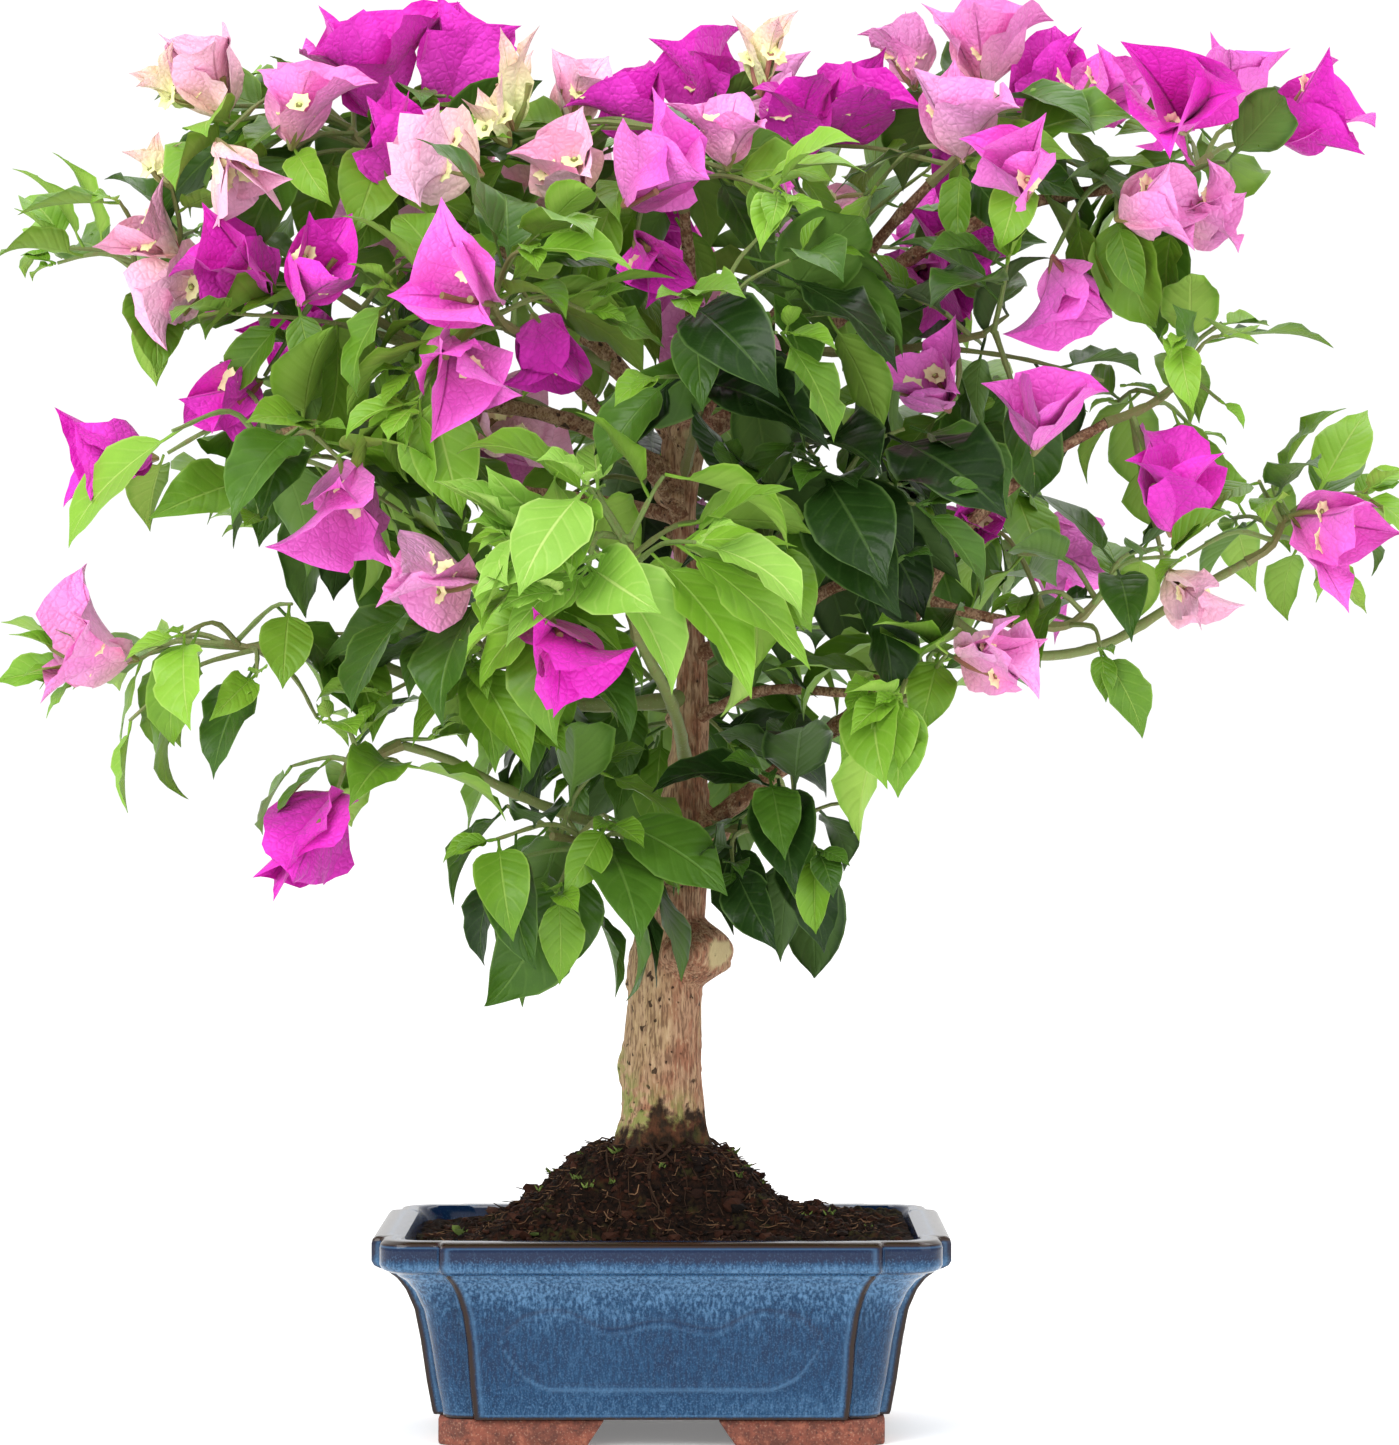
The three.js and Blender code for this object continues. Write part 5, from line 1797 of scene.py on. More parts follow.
MASSES = (
    Mass("top_left", "top_left", 1, (-112, -6, 456), (94, 60, 52), 10, 4, 0.2, 38, 1.8, 1.0),
    Mass("crest", "top_mid", 1, (-4, -38, 452), (82, 62, 56), 9, 2, 0.3, 40, 1.8, 1.3),
    Mass("top_right", "top_right", 1, (114, -28, 458), (60, 60, 52), 7, 3, 0.3, 40, 1.5, 1.2),
    Mass("right_top", "right_top", 1, (194, -14, 444), (60, 54, 54), 6, 2, 0.5, 40, 1.6, 0.8),
    Mass("far_left", "far_left", 1, (-190, -6, 406), (54, 50, 46), 4, 0, 0.6, 34, 2.0, 2.4),
    Mass("left_bloom", "left_out", 0.32, (-122, -50, 398), (58, 56, 48), 7, 1, 0.6, 40, 1.5, 0.3),
    Mass("left_star", "star", 1, (-58, -102, 386), (60, 58, 56), 7, 0, 0.6, 42, 1.6, 0.4),
    Mass("high_front", "trunk", 0.95, (20, -92, 386), (60, 58, 58), 7, 0, 0.9, 48, 0.7, 0.6),
    Mass("left_out", "left_out", 1, (-136, -54, 338), (86, 60, 52), 7, 0, 0.8, 48, 1.5, 0.6),
    Mass("left_low", "left_low", 1, (-152, -38, 272), (76, 52, 46), 6, 0, 1.0, 46, 1.7, 2.0),
    Mass("low_bloom", "low_bloom", 1, (-106, -50, 226), (54, 48, 38), 4, 0, 0.4, 34, 2.2, 0.4),
    Mass("mid_left", "left_low", 0.5, (-60, -58, 272), (54, 54, 50), 6, 0, 0.9, 44, 1.1, 1.0),
    Mass("front", "front", 1, (-10, -114, 306), (64, 60, 60), 7, 0, 0.9, 48, 2.8, 0.8),
    Mass("bottom_left", "trunk", 0.44, (-38, -46, 204), (54, 52, 52), 6, 0, 1.0, 42, 1.0, 0),
    Mass("bottom_right", "trunk", 0.47, (50, -32, 208), (54, 52, 48), 5, 0, 1.0, 42, 0.4, 0),
    Mass("right_low", "right_low", 1, (94, -58, 256), (54, 52, 48), 5, 0, 0.9, 42, 2.0, 1.8),
    Mass("core", "trunk", 0.8, (64, -60, 322), (66, 64, 66), 8, 0, 0.9, 50, 0.1, 0),
    Mass("right_mid", "right_top", 0.3, (120, -34, 380), (64, 58, 56), 6, 1, 0.8, 44, 0.8, 0.6),
    Mass("right_shoot", "right_shoot", 1, (184, -14, 366), (50, 50, 48), 5, 1, 0.6, 38, 1.7, 0.6),
    Mass("right_lower", "right_lower", 1, (156, -20, 290), (56, 52, 50), 5, 0, 0.9, 42, 1.1, 1.6),
    Mass("far_right", "far_right", 1, (222, 2, 318), (52, 48, 46), 5, 1, 0.5, 36, 2.0, 1.2),
    Mass("back_top_left", "back_top_left", 1, (-58, 74, 420), (68, 64, 64), 6, 9, 0.4, 42, 1.4, 0.9),
    Mass("back_top_right", "back_top_right", 1, (66, 74, 424), (68, 64, 64), 6, 9, 0.4, 42, 1.4, 0.9),
    Mass("back_left", "back_left", 1, (-114, 72, 340), (68, 62, 62), 6, 4, 0.8, 46, 1.2, 0.8),
    Mass("back_mid", "back_mid", 1, (-8, 100, 342), (64, 60, 62), 6, 3, 0.8, 48, 1.0, 0.8),
    Mass("back_right", "back_right", 1, (98, 84, 344), (66, 62, 62), 6, 4, 0.8, 46, 1.2, 0.8),
    Mass("back_low", "trunk", 0.58, (0, 74, 256), (86, 60, 58), 7, 1, 1.0, 44, 0.9, 1.0),
)


@dataclass(frozen=True)
class Spray:
    """A shoot that ends at a set place: its mass, place, facing, bract colour or None, and size."""

    mass: str
    spot: Triple
    facing: Triple
    tone: BractTone | None
    size: float


SPRAY_ROWS = (
    ("top_left", ((-157, -30, 475), (-0.3, -0.3, 0.9), BLUSH, 36),
        ((-126, -45, 464), (0.2, -0.3, 0.9), ROSE, 35), ((-148, -60, 440), (0.35, -0.4, -0.8), BLUSH, 35),
        ((-103, -10, 482), (-0.1, -0.2, 0.95), MAGENTA, 46),
        ((-74, -5, 483), (0.2, -0.2, 0.95), MAGENTA, 43), ((-92, -50, 448), (0.1, -0.5, 0.8), MAGENTA, 36),
        ((-72, -78, 443), (-0.7, -0.5, 0.3), BLUSH, 34)),
    ("far_left", ((-180, -20, 422), (-0.75, -0.4, 0.5), BLUSH, 34),
        ((-167, -30, 401), (-0.6, -0.5, -0.4), BLUSH, 33)),
    ("left_bloom", ((-144, -50, 408), (-0.6, -0.5, 0.5), MAGENTA, 37),
        ((-117, -72, 405), (0.45, -0.55, 0.6), MAGENTA, 39),
        ((-151, -44, 365), (-0.7, -0.5, -0.3), MAGENTA, 35)),
    ("crest", ((-51, -50, 470), (0, -0.3, 0.95), CREAM, 34),
        ((-58, -56, 458), (-0.5, -0.5, 0.7), CREAM, 26)),
    ("top_left", ((-172, -30, 473), (-0.7, -0.3, 0.5), CREAM, 26)),
    ("far_left", ((-176, -24, 446), (-0.4, -0.3, 0.8), CREAM, 20)),
    ("crest", ((-30, -30, 471), (0.2, -0.3, 0.9), BLUSH, 32),
        ((-33, -62, 439), (-0.3, -0.5, 0.7), BLUSH, 32), ((-2, -78, 435), (0.6, -0.5, 0.4), ORCHID, 39),
        ((-8, -25, 466), (-0.2, -0.3, 0.95), MAGENTA, 33), ((-4, -60, 410), (0.3, -0.5, -0.5), MAGENTA, 30),
        ((23, -62, 454), (0, -0.3, 0.95), ROSE, 32), ((36, -35, 483), (0.1, -0.2, 0.97), CREAM, 32),
        ((16, -12, 478), (-0.3, -0.2, 0.95), MAGENTA, 36), ((48, -32, 463), (0, -0.3, 0.95), MAGENTA, 42)),
    ("top_right", ((66, -20, 465), (0.6, -0.4, 0.6), MAGENTA, 38),
        ((86, -10, 486), (-0.3, -0.3, 0.9), ROSE, 28), ((114, -20, 488), (0, -0.3, 0.95), ROSE, 38),
        ((103, -46, 461), (-0.1, -0.3, 0.95), ROSE, 39), ((136, -10, 477), (0.2, -0.3, 0.95), MAGENTA, 40),
        ((154, -20, 471), (0.6, -0.3, 0.6), ORCHID, 34), ((125, -78, 439), (0, -0.7, 0.6), ORCHID, 34)),
    ("right_top", ((169, -52, 430), (0.75, -0.5, 0.3), ROSE, 34),
        ((190, -35, 429), (0.8, -0.3, 0.2), ROSE, 27), ((141, -40, 402), (0.3, -0.4, -0.8), ORCHID, 33),
        ((201, -20, 475), (0.1, -0.2, 0.95), ORCHID, 34),
        ((230, -10, 467), (0.65, -0.5, 0.45), MAGENTA, 46)),
    ("right_mid", ((93, -42, 367), (-0.5, -0.5, 0.5), ORCHID, 31),
        ((132, -55, 356), (0.2, -0.4, 0.8), ORCHID, 34)),
    ("right_shoot", ((178, -38, 332), (0, -0.35, 0.9), MAGENTA, 41),
        ((185, -14, 297), (0.5, -0.4, -0.6), BLUSH, 28)),
    ("right_low", ((112, -80, 273), (0.75, -0.6, 0), ROSE, 34)),
    ("far_right", ((235, -12, 321), (0.7, -0.6, -0.2), ORCHID, 38)),
    ("right_lower", ((111, -14, 320), (0, -0.8, -0.3), MAGENTA, 28)),
    ("left_out", ((-190, -42, 343), (-0.85, -0.4, 0), MAGENTA, 37),
        ((-108, -80, 326), (0.1, -0.5, -0.8), ORCHID, 42)),
    ("left_star", ((-65, -118, 395), (-0.5, -0.75, 0.2), ORCHID, 40),
        ((-69, -112, 369), (0.1, -0.6, -0.75), ORCHID, 37),
        ((-39, -84, 378), (0.3, -0.4, -0.8), MAGENTA, 34)),
    ("mid_left", ((-75, -98, 300), (-0.75, -0.6, 0.1), ROSE, 38)),
    ("front", ((-31, -128, 277), (0.3, -0.6, -0.5), MAGENTA, 35)),
    ("left_low", ((-196, -42, 276), (-0.8, -0.5, 0.2), ROSE, 37)),
    ("low_bloom", ((-120, -54, 213), (-0.35, -0.6, -0.7), MAGENTA, 49)),
    ("front", ((-47, -132, 314), (0.2, -0.5, 0.8), None, 40),
        ((-20, -140, 303), (0.6, -0.6, 0.3), None, 52)),
    ("right_shoot", ((199, -16, 395), (0.4, -0.2, 0.9), None, 34)),
    ("far_left", ((-217, -4, 422), (-0.7, -0.2, 0.6), None, 36)),
    ("far_right", ((254, -4, 334), (0.8, -0.2, 0.3), None, 38)),
    ("left_low", ((-208, -36, 266), (-0.8, -0.3, -0.3), None, 40)),
    ("left_out", ((-172, -78, 348), (-0.75, -0.5, -0.35), None, 66)),
    ("left_star", ((-84, -108, 352), (-0.3, -0.4, -0.8), None, 46)),
    ("crest", ((43, -92, 432), (0.2, -0.7, 0.6), None, 42)),
    ("right_low", ((82, -96, 261), (0.2, -0.8, 0.3), None, 42)),
)
SPRAYS = tuple(Spray(mass, *row) for mass, *rows in SPRAY_ROWS for row in rows)


@dataclass(frozen=True)
class Gap:
    """A place in the picture where the crown is open: its spot at the trunk's depth, and size.

    Behind is True where it shows the wood, so that leaves may hang at the back of it.
    """

    x: float
    z: float
    radius: float
    behind: bool = False


OPENINGS = (
    (-216, 375, 28), (-190, 303, 17), (-165, 301, 18), (-140, 298, 15), (-155, 286, 13),
    (-112, 286, 10), (219, 414, 26), (237, 441, 17), (126, 384, 9), (144, 392, 13), (141, 336, 9),
    (212, 344, 12), (-133, 243, 12), (-205, 248, 13), (116, 233, 24), (146, 256, 11), (197, 279, 13),
    (-90, 213, 13), (102, 204, 24), (76, 184, 14), (-88, 190, 14), (-74, 172, 10), (212, 372, 12),
    (150, 238, 18), (186, 252, 15),
)
WINDOWS = (
    (6, 342, 13), (10, 322, 7), (20, 170, 11), (70, 297, 7), (95, 295, 6), (-93, 243, 6),
    (-70, 233, 6), (-47, 221, 5), (12, 270, 6), (8, 238, 6),
)
GAPS = (*(Gap(*row) for row in OPENINGS), *(Gap(*row, True) for row in WINDOWS))


@dataclass(frozen=True)
class BladeForm:
    """Outline and cross-section of a blade.

    Attributes:
        rows: Shares along the blade where it has a ring of points.
        halves: Half width at each row, as a share of the length.
        columns: Shares across, from one edge over the top to the other.
        stalk: Length of the stalk as a share of the blade's.
        thick: Half thickness at the midrib, in millimetres.
        stalk_radius: Radius of the stalk.
    """

    rows: tuple[float, ...]
    halves: tuple[float, ...]
    columns: tuple[float, ...]
    stalk: float
    thick: float
    stalk_radius: float


LEAF_FORM = BladeForm(
    rows=(0.0, 0.03, 0.08, 0.15, 0.24, 0.34, 0.45, 0.56, 0.67, 0.77, 0.86, 0.93, 0.975),
    halves=(0.03, 0.1, 0.175, 0.235, 0.275, 0.29, 0.284, 0.257, 0.206, 0.136, 0.068, 0.028, 0.011),
    columns=(-1.0, -0.5, 0.0, 0.5, 1.0),
    stalk=0.2,
    thick=0.22,
    stalk_radius=0.6,
)
BRACT_FORM = BladeForm(
    rows=(
        0.0, 0.025, 0.06, 0.11, 0.17, 0.24, 0.32, 0.4, 0.48,
        0.56, 0.63, 0.7, 0.76, 0.82, 0.88, 0.93, 0.975,
    ),
    halves=(
        0.05, 0.14, 0.225, 0.295, 0.345, 0.378, 0.395, 0.398, 0.386,
        0.356, 0.312, 0.252, 0.19, 0.126, 0.07, 0.034, 0.012,
    ),
    columns=(-1.0, -0.78, -0.52, -0.26, 0.0, 0.26, 0.52, 0.78, 1.0),
    stalk=0.03,
    thick=0.15,
    stalk_radius=0.7,
)
BUD_FORM = replace(
    BRACT_FORM, halves=tuple(0.56 * half for half in BRACT_FORM.halves), columns=LEAF_FORM.columns
)


@dataclass
class Blade:
    """One leaf or bract: its root, direction, upper face, length, how it bends and how broad it is."""

    root: Array
    along: Array
    face: Array
    length: float
    curl: float
    fold: float
    cup: float
    ruffle: float
    phase: float
    twist: float
    mark: float
    broad: float = 1.0


class Blades:
    """Blades of one kind and colour, worked out together and written as one mesh."""

    def __init__(self, form: BladeForm) -> None:
        """Starts with no blades."""
        self.form = form
        self.blades: list[Blade] = []

    def make(self, name: str) -> Object:
        """Writes the blades as one closed mesh each, joined in one object.

        Args:
            name: The object's name.

        Returns:
            The object.
        """
        form, blades = self.form, self.blades
        count = len(blades)
        rows = np.array((-form.stalk, -form.stalk * 0.4, *form.rows))
        halves = np.array((0.0, 0.0, *form.halves))
        top = np.array(form.columns)
        columns = np.concatenate([top, top[-2:0:-1]])
        lift = np.concatenate([np.sqrt(1 - top**2), -np.sqrt(1 - top[-2:0:-1] ** 2)])

        def column(name: str) -> Array:
            """One number of every blade."""
            return np.array([getattr(blade, name) for blade in blades])

        length = column("length")
        along = unit(np.stack([b.along for b in blades]))
        face = np.stack([b.face for b in blades])
        face = unit(face - (face * along).sum(1, keepdims=True) * along)
        side = np.cross(face, along)
        curl, twist = column("curl"), column("twist")
        on_blade = np.clip(rows, 0, 1)
        lean = curl[:, None] * (0.35 * on_blade + 0.9 * on_blade**2.2) - 0.35 * (1 - on_blade) * 0.4
        steps = np.diff(np.concatenate([rows, [1.0]]))
        ahead = np.cos(lean)[..., None] * along[:, None] - np.sin(lean)[..., None] * face[:, None]
        moves = ahead * (steps[None, :] * length[:, None])[..., None]
        starts = np.stack([b.root for b in blades])[:, None]
        centres = np.concatenate([np.zeros((count, 1, 3)), np.cumsum(moves, axis=1)], axis=1) + starts
        spin = (twist[:, None] * on_blade**1.3)[..., None]
        up = np.sin(lean)[..., None] * along[:, None] + np.cos(lean)[..., None] * face[:, None]
        beside = side[:, None] * np.cos(spin) + up * np.sin(spin)
        normal = up * np.cos(spin) - side[:, None] * np.sin(spin)

        widths = halves[None, :] * (length * column("broad"))[:, None]
        is_stalk = rows < 0
        widths = np.where(is_stalk[None, :], form.stalk_radius, widths)
        thick = np.where(is_stalk, form.stalk_radius, form.thick * (1.15 - 0.6 * on_blade))
        far = np.abs(columns)
        fold, cup, ruffle, phase = (
            column(name)[:, None, None] for name in ("fold", "cup", "ruffle", "phase")
        )
        wave = np.sin(on_blade[None, :, None] * 13 + phase + np.sign(columns) * 1.3)
        wave = wave + 0.45 * np.sin(on_blade[None, :, None] * 29 + 2 * phase + np.sign(columns))
        rise = widths[..., None] * (np.sin(fold) * far + cup * far**2 + ruffle * far**3 * wave)
        rise = rise * (~is_stalk)[None, :, None]
        sideways = widths[..., None] * columns * np.cos(fold)
        heights = rise + lift * thick[None, :, None]
        rings = (
            centres[:, :-1, None]
            + beside[:, :, None] * sideways[..., None]
            + normal[:, :, None] * heights[..., None]
        )
        points = np.concatenate([starts, rings.reshape(count, -1, 3), centres[:, -1:]], axis=1)
        self._cut_faces(far, len(rows))
        return self._write(name, points, rows, columns, lift)

    def __len__(self) -> int:
        """The number of blades."""
        return len(self.blades)

    def _cut_faces(self, far: Array, rings: int) -> None:
        """Works out the faces of one blade, cut alike on both sides so that they never cross.

        Args:
            far: How far from the midrib each point of a ring lies.
            rings: The number of rings.
        """
        faces: list[tuple[int, ...]] = []
        around = len(far)
        last = 1 + around * rings
        for k in range(around):
            following = (k + 1) % around
            faces.append((0, 1 + k, 1 + following))
            for row in range(rings - 1):
                a, b = 1 + row * around + k, 1 + row * around + following
                if far[k] > far[following]:
                    faces.extend(((a, a + around, b + around), (a, b + around, b)))
                else:
                    faces.extend(((a, a + around, b), (a + around, b + around, b)))
            end = 1 + (rings - 1) * around
            faces.append((last, end + following, end + k))
        self.faces = faces
        self.per_blade = last + 1

    def _write(self, name: str, points: Array, rows: Array, columns: Array, lift: Array) -> Object:
        """Writes the mesh, its UV map and its marks.

        Args:
            name: The object's name.
            points: The points of each blade.
            rows: Shares along a blade where it has a ring.
            columns: Shares across it, round a ring.
            lift: Above 0 on the upper face and below 0 on the under face, round a ring.

        Returns:
            The object.
        """
        count = len(points)
        offsets = np.arange(count) * self.per_blade
        faces = [
            tuple(index + offset for index in face) for offset in offsets.tolist() for face in self.faces
        ]
        mesh = bpy.data.meshes.new(name)
        corners = points.reshape(-1, 3) * MM + np.array(HOME)
        mesh.from_pydata(corners.tolist(), [], faces)
        shares = np.clip(rows, 0, 1)
        u = np.concatenate([[0.5], np.tile((columns + 1) / 2, len(rows)), [0.5]])
        v = np.concatenate([[0.0], np.repeat(shares, len(columns)), [1.0]])
        under = np.concatenate([[0.5], np.tile((1 - np.sign(lift)) / 2, len(rows)), [0.5]])
        flat = np.zeros(len(mesh.loops), int)
        mesh.loops.foreach_get("vertex_index", flat)
        uv = np.stack([np.tile(u, count)[flat], np.tile(v, count)[flat]], axis=1)
        mesh.uv_layers.new(name="blade").data.foreach_set("uv", uv.ravel())
        marks = np.repeat([blade.mark for blade in self.blades], self.per_blade)
        mark_points(mesh, mark=marks, under=np.tile(under, count))
        return shown(name, mesh, 55.0)


@dataclass
class Crown:
    """Stems, shoots, leaves and blooms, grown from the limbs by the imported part's rule.

    Shoots leave each stem at the golden angle from the top down, leaves leave the shoots at the
    same angle, and blooms of three bracts end the upper shoots. A blade that would run outside
    its mass or lie too close to another blade is turned, and then left out.
    """

    limbs: Limbs
    seed: int = 4100
    seed_step: int = 97
    spray_seed: int = 977
    shoot_factor: float = 1.5
    shoot_share: float = 0.5
    shoot_extra: float = 0.3
    leaf_step: float = 11.5
    leaf_tries: int = 7
    bloom_tries: int = 8
    clearance: float = 5.6
    wander: float = 8.0
    view_point: tuple[float, float] = (13.2, 250.8)
    view_distance: float = 1850.0
    view_top: float = 503.5
    lowest: float = 150.0
    box_room: float = 2.0
    window_depth: float = -4.0
    bare_height: float = 230.0
    trunk_room: float = 15.0
    limb_room: float = 4.0
    neighbourhood: float = 42.0
    bloom_size: float = 41.0
    star_reach: float = 4.2
    flowery_height: float = 430.0
    guard: tuple[float, ...] = (12.0, 26.0, 42.0)

    def __post_init__(self) -> None:
        """Sets out the empty pieces and what new blades have to keep clear of."""
        self.leaves = {tone: Blades(LEAF_FORM) for tone in LeafTone}
        self.bracts = {tone: Blades(BUD_FORM if tone is CREAM else BRACT_FORM) for tone in BractTone}
        self.twigs, self.tubes, self.stars = Parts(), Parts(), Parts()
        self.axes = np.vstack([line.points[::3] for line in self.limbs.lines.values()])
        self.filled = np.zeros((0, 3))
        self.guards = np.full((1, 3), 1e4)
        self.gap_spots = np.array([(gap.x, gap.z) for gap in GAPS])
        self.gap_sizes = np.array([gap.radius for gap in GAPS])
        self.gap_fronts = np.array([self.window_depth if gap.behind else math.inf for gap in GAPS])

    def build(self) -> None:
        """Grows every mass, then makes and dresses the pieces."""
        stems = {mass.name: self._stem(mass) for mass in MASSES}
        self._sprays(stems)
        for order, mass in enumerate(MASSES):
            self._grow(mass, order, stems[mass.name])
        for tone, blades in self.leaves.items():
            self._dress(blades, f"leaves_{tone.name.lower()}", LEAF_SKINS[tone].make(), "leaves")
        for tone, blades in self.bracts.items():
            self._dress(blades, f"bracts_{tone.name.lower()}", BRACT_SKINS[tone].make(), "blossom")
        tube_skin = FlowerSkin("flower_tube", (0.18, 0.27, 0.05), (0.42, 0.09, 0.12))
        star_skin = FlowerSkin("flower_star", (0.42, 0.60, 0.10), (0.93, 0.95, 0.50), 0.6)
        self._dress(self.twigs, "twigs", TwigSkin().make(), "bark")
        self._dress(self.tubes, "flower_tubes", tube_skin.make(), "blossom")
        self._dress(self.stars, "flower_stars", star_skin.make(), "blossom")

    @staticmethod
    def _dress(parts: "Blades | Parts", name: str, material: Material, slot: str) -> None:
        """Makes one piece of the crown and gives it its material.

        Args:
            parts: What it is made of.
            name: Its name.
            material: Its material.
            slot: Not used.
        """
        if len(parts) == 0:
            return
        piece = parts.make(name)
        piece.data.materials.append(material)
        finish_piece(piece, [f"foliage_{mass.name}" for mass in MASSES])
        LOG.info("%s: %d parts", name, len(parts))

    def _stem(self, mass: Mass) -> Path:
        """Lays out the stem of a mass.

        Args:
            mass: The mass.

        Returns:
            A line from its limb to the upper part of the mass.
        """
        limb = self.limbs.lines[mass.carrier]
        start, middle = limb.at(mass.at), np.array(mass.middle, float)
        lead = start + 0.4 * (middle - start)
        if mass.at == 1 and mass.carrier != "trunk":
            lead = lead + limb.tangent(1.0) * 0.2 * norm(middle - start)
        return Path([start, lead, middle + UP * 0.14 * mass.reach[2]])

    def _sprays(self, stems: dict[str, Path]) -> None:
        """Adds the shoots with a bloom or a tuft at a set place, before all the others.

        Args:
            stems: The line of each mass's stem.
        """
        masses = {mass.name: mass for mass in MASSES}
        lines = []
        for index, spray in enumerate(SPRAYS):
            draw = Draws(self.spray_seed + self.seed_step * index)
            mass, stem = masses[spray.mass], stems[spray.mass]
            axis = unit(np.array(spray.facing, float))
            spot = np.array(spray.spot, float)
            foot = spot - axis * (0.42 if spray.tone else 0.1) * spray.size
            gaps = [norm(stem.at(share) - foot) for share in np.linspace(0.3, 0.95, 14)]
            start = stem.at(0.3 + 0.05 * int(np.argmin(gaps)))
            middle = (start + foot) / 2 + UP * (4 + 6 * draw()) - axis * 5
            line = Path([start, middle, foot])
            self._twig(line.points, 1.2, 0.75, 0.1 + 0.3 * draw())
            if spray.tone:
                self._bloom(foot, foot, axis, spray.size, spray.tone, draw, forced=True)
            lines.append((mass, line, spray, draw))
        for mass, line, spray, draw in lines:
            size = mass.leaf if spray.tone else spray.size
            tone = mass.tone if spray.tone else min(3.6, mass.tone + 1.2)
            self._leaves(mass, line, size, tone, draw)
            if not spray.tone:
                self._tip(line, size, tone, 5, draw, 0.0)

    def _grow(self, mass: Mass, order: int, stem: Path) -> None:
        """Grows one mass.

        Args:
            mass: The mass.
            order: Its place in the list, which sets its random numbers.
            stem: Its stem.
        """
        draw = Draws(self.seed + self.seed_step * order)
        self._twig(stem.points, 2.1, 1.5, 0.55)
        shoots = self._shoots(mass, order, stem, draw)
        ends = sorted(range(len(shoots)), key=lambda i: (i * 7) % len(shoots))[: mass.blooms]
        bare = set(range(len(shoots)))
        for index in ends:
            line, out, _ = shoots[index]
            spin = TURN * draw()
            sway = np.array([cos(spin), sin(spin), 0])
            axis = unit(line.tangent(1.0) + 0.7 * out + 0.5 * UP + 0.4 * sway)
            foot = line.at(1.0)
            size = self.bloom_size * draw.between(0.78, 1.12)
            tone = BractTone(int(min(4, max(0, round(mass.pink + 3.4 * (draw() ** 1.6 - 0.35))))))
            if self._bloom(foot, foot + 4 * axis, axis, size, tone, draw):
                bare.discard(index)
        for index, (line, _, brown) in enumerate(shoots):
            reach = self._leaves(mass, line, mass.leaf, mass.tone, draw)
            leafy = index in bare and mass.middle[2] < self.flowery_height
            if leafy and self._tip(line, mass.leaf, mass.tone + 0.9, 2, draw):
                bare.discard(index)
            self._twig(line.points, 1.15, 0.65, brown, reach if index in bare else 1.0)

    def _shoots(
        self, mass: Mass, order: int, stem: Path, draw: Draws
    ) -> list[tuple[Path, Array, float]]:
        """Lays out the shoots of one mass.

        Args:
            mass: The mass.
            order: Its place in the list.
            stem: Its stem, which the shoots leave.
            draw: The numbers for what varies.

        Returns:
            The line of each shoot, its outward direction and how brown it is.
        """
        middle, oval = np.array(mass.middle, float), np.array(mass.reach, float)
        count = int(round(mass.shoots * self.shoot_factor))
        shoots = []
        for index in range(count):
            part = (index + 0.5) / count
            turn = index * GOLDEN_ANGLE + 0.7 * draw() + order
            rise = 0.9 - 1.5 * part + 0.2 * (draw() - 0.5)
            level = math.sqrt(max(0.0, 1 - rise**2))
            out = np.array([level * cos(turn), level * sin(turn), rise])
            start = stem.at(0.97 - 0.5 * part)
            room = 1 / norm(out / oval)
            tip = middle + out * room * (self.shoot_share + self.shoot_extra * draw())
            sway = np.array([draw() - 0.5, draw() - 0.5, 0.25 + 0.6 * draw()]) * self.wander
            line = Path([start, (start + tip) / 2 + sway, tip])
            brown = 0.12 + 0.3 * draw()
            if not self._hides(line.points[len(line.points) // 3 :], 6.0):
                shoots.append((line, out, brown))
        return shoots

    def _twig(self, path: Array, base: float, tip: float, brown: float, until: float = 1.0) -> None:
        """Adds a twig, with slight swellings where leaves sit.

        Args:
            path: Points along it.
            base: Its radius at the start.
            tip: Its radius at the end.
            brown: From 0 for green to 1 for brown.
            until: The share of the path that it covers.
        """
        path = path[: int(math.ceil(len(path) * until))]
        if len(path) < 4:
            return
        path = spline(path[:: max(1, len(path) // 8)], 4.0)
        shares = np.linspace(0, 1, len(path))
        radii = base + (tip - base) * shares
        radii = radii * (1 + 0.12 * np.cos(shares * len(path) * 1.9))
        self.twigs.tube(path, radii, 6, brown)

    def _gap(self, points: Array) -> float:
        """Finds the room between new points and the blades that are there.

        Args:
            points: The new points.

        Returns:
            The least distance, or a large one where no blade is near.
        """
        near = np.abs(self.filled - points.mean(axis=0)).max(axis=1) < self.neighbourhood
        if not near.any():
            return 99.0
        return float(norm(self.filled[near][None] - points[:, None], axis=2).min())

    def _hides(self, points: Array, room: float) -> bool:
        """True where points lie in front of a bloom that is to be seen."""
        return bool(norm(self.guards[None] - points[:, None], axis=2).min() < room)

    def _off_limbs(self, points: Array) -> bool:
        """True where points keep off the trunk and boughs."""
        gap = norm(self.axes[None] - points[:, None], axis=2).min()
        return gap > (self.trunk_room if points[:, 2].min() < self.bare_height else self.limb_room)

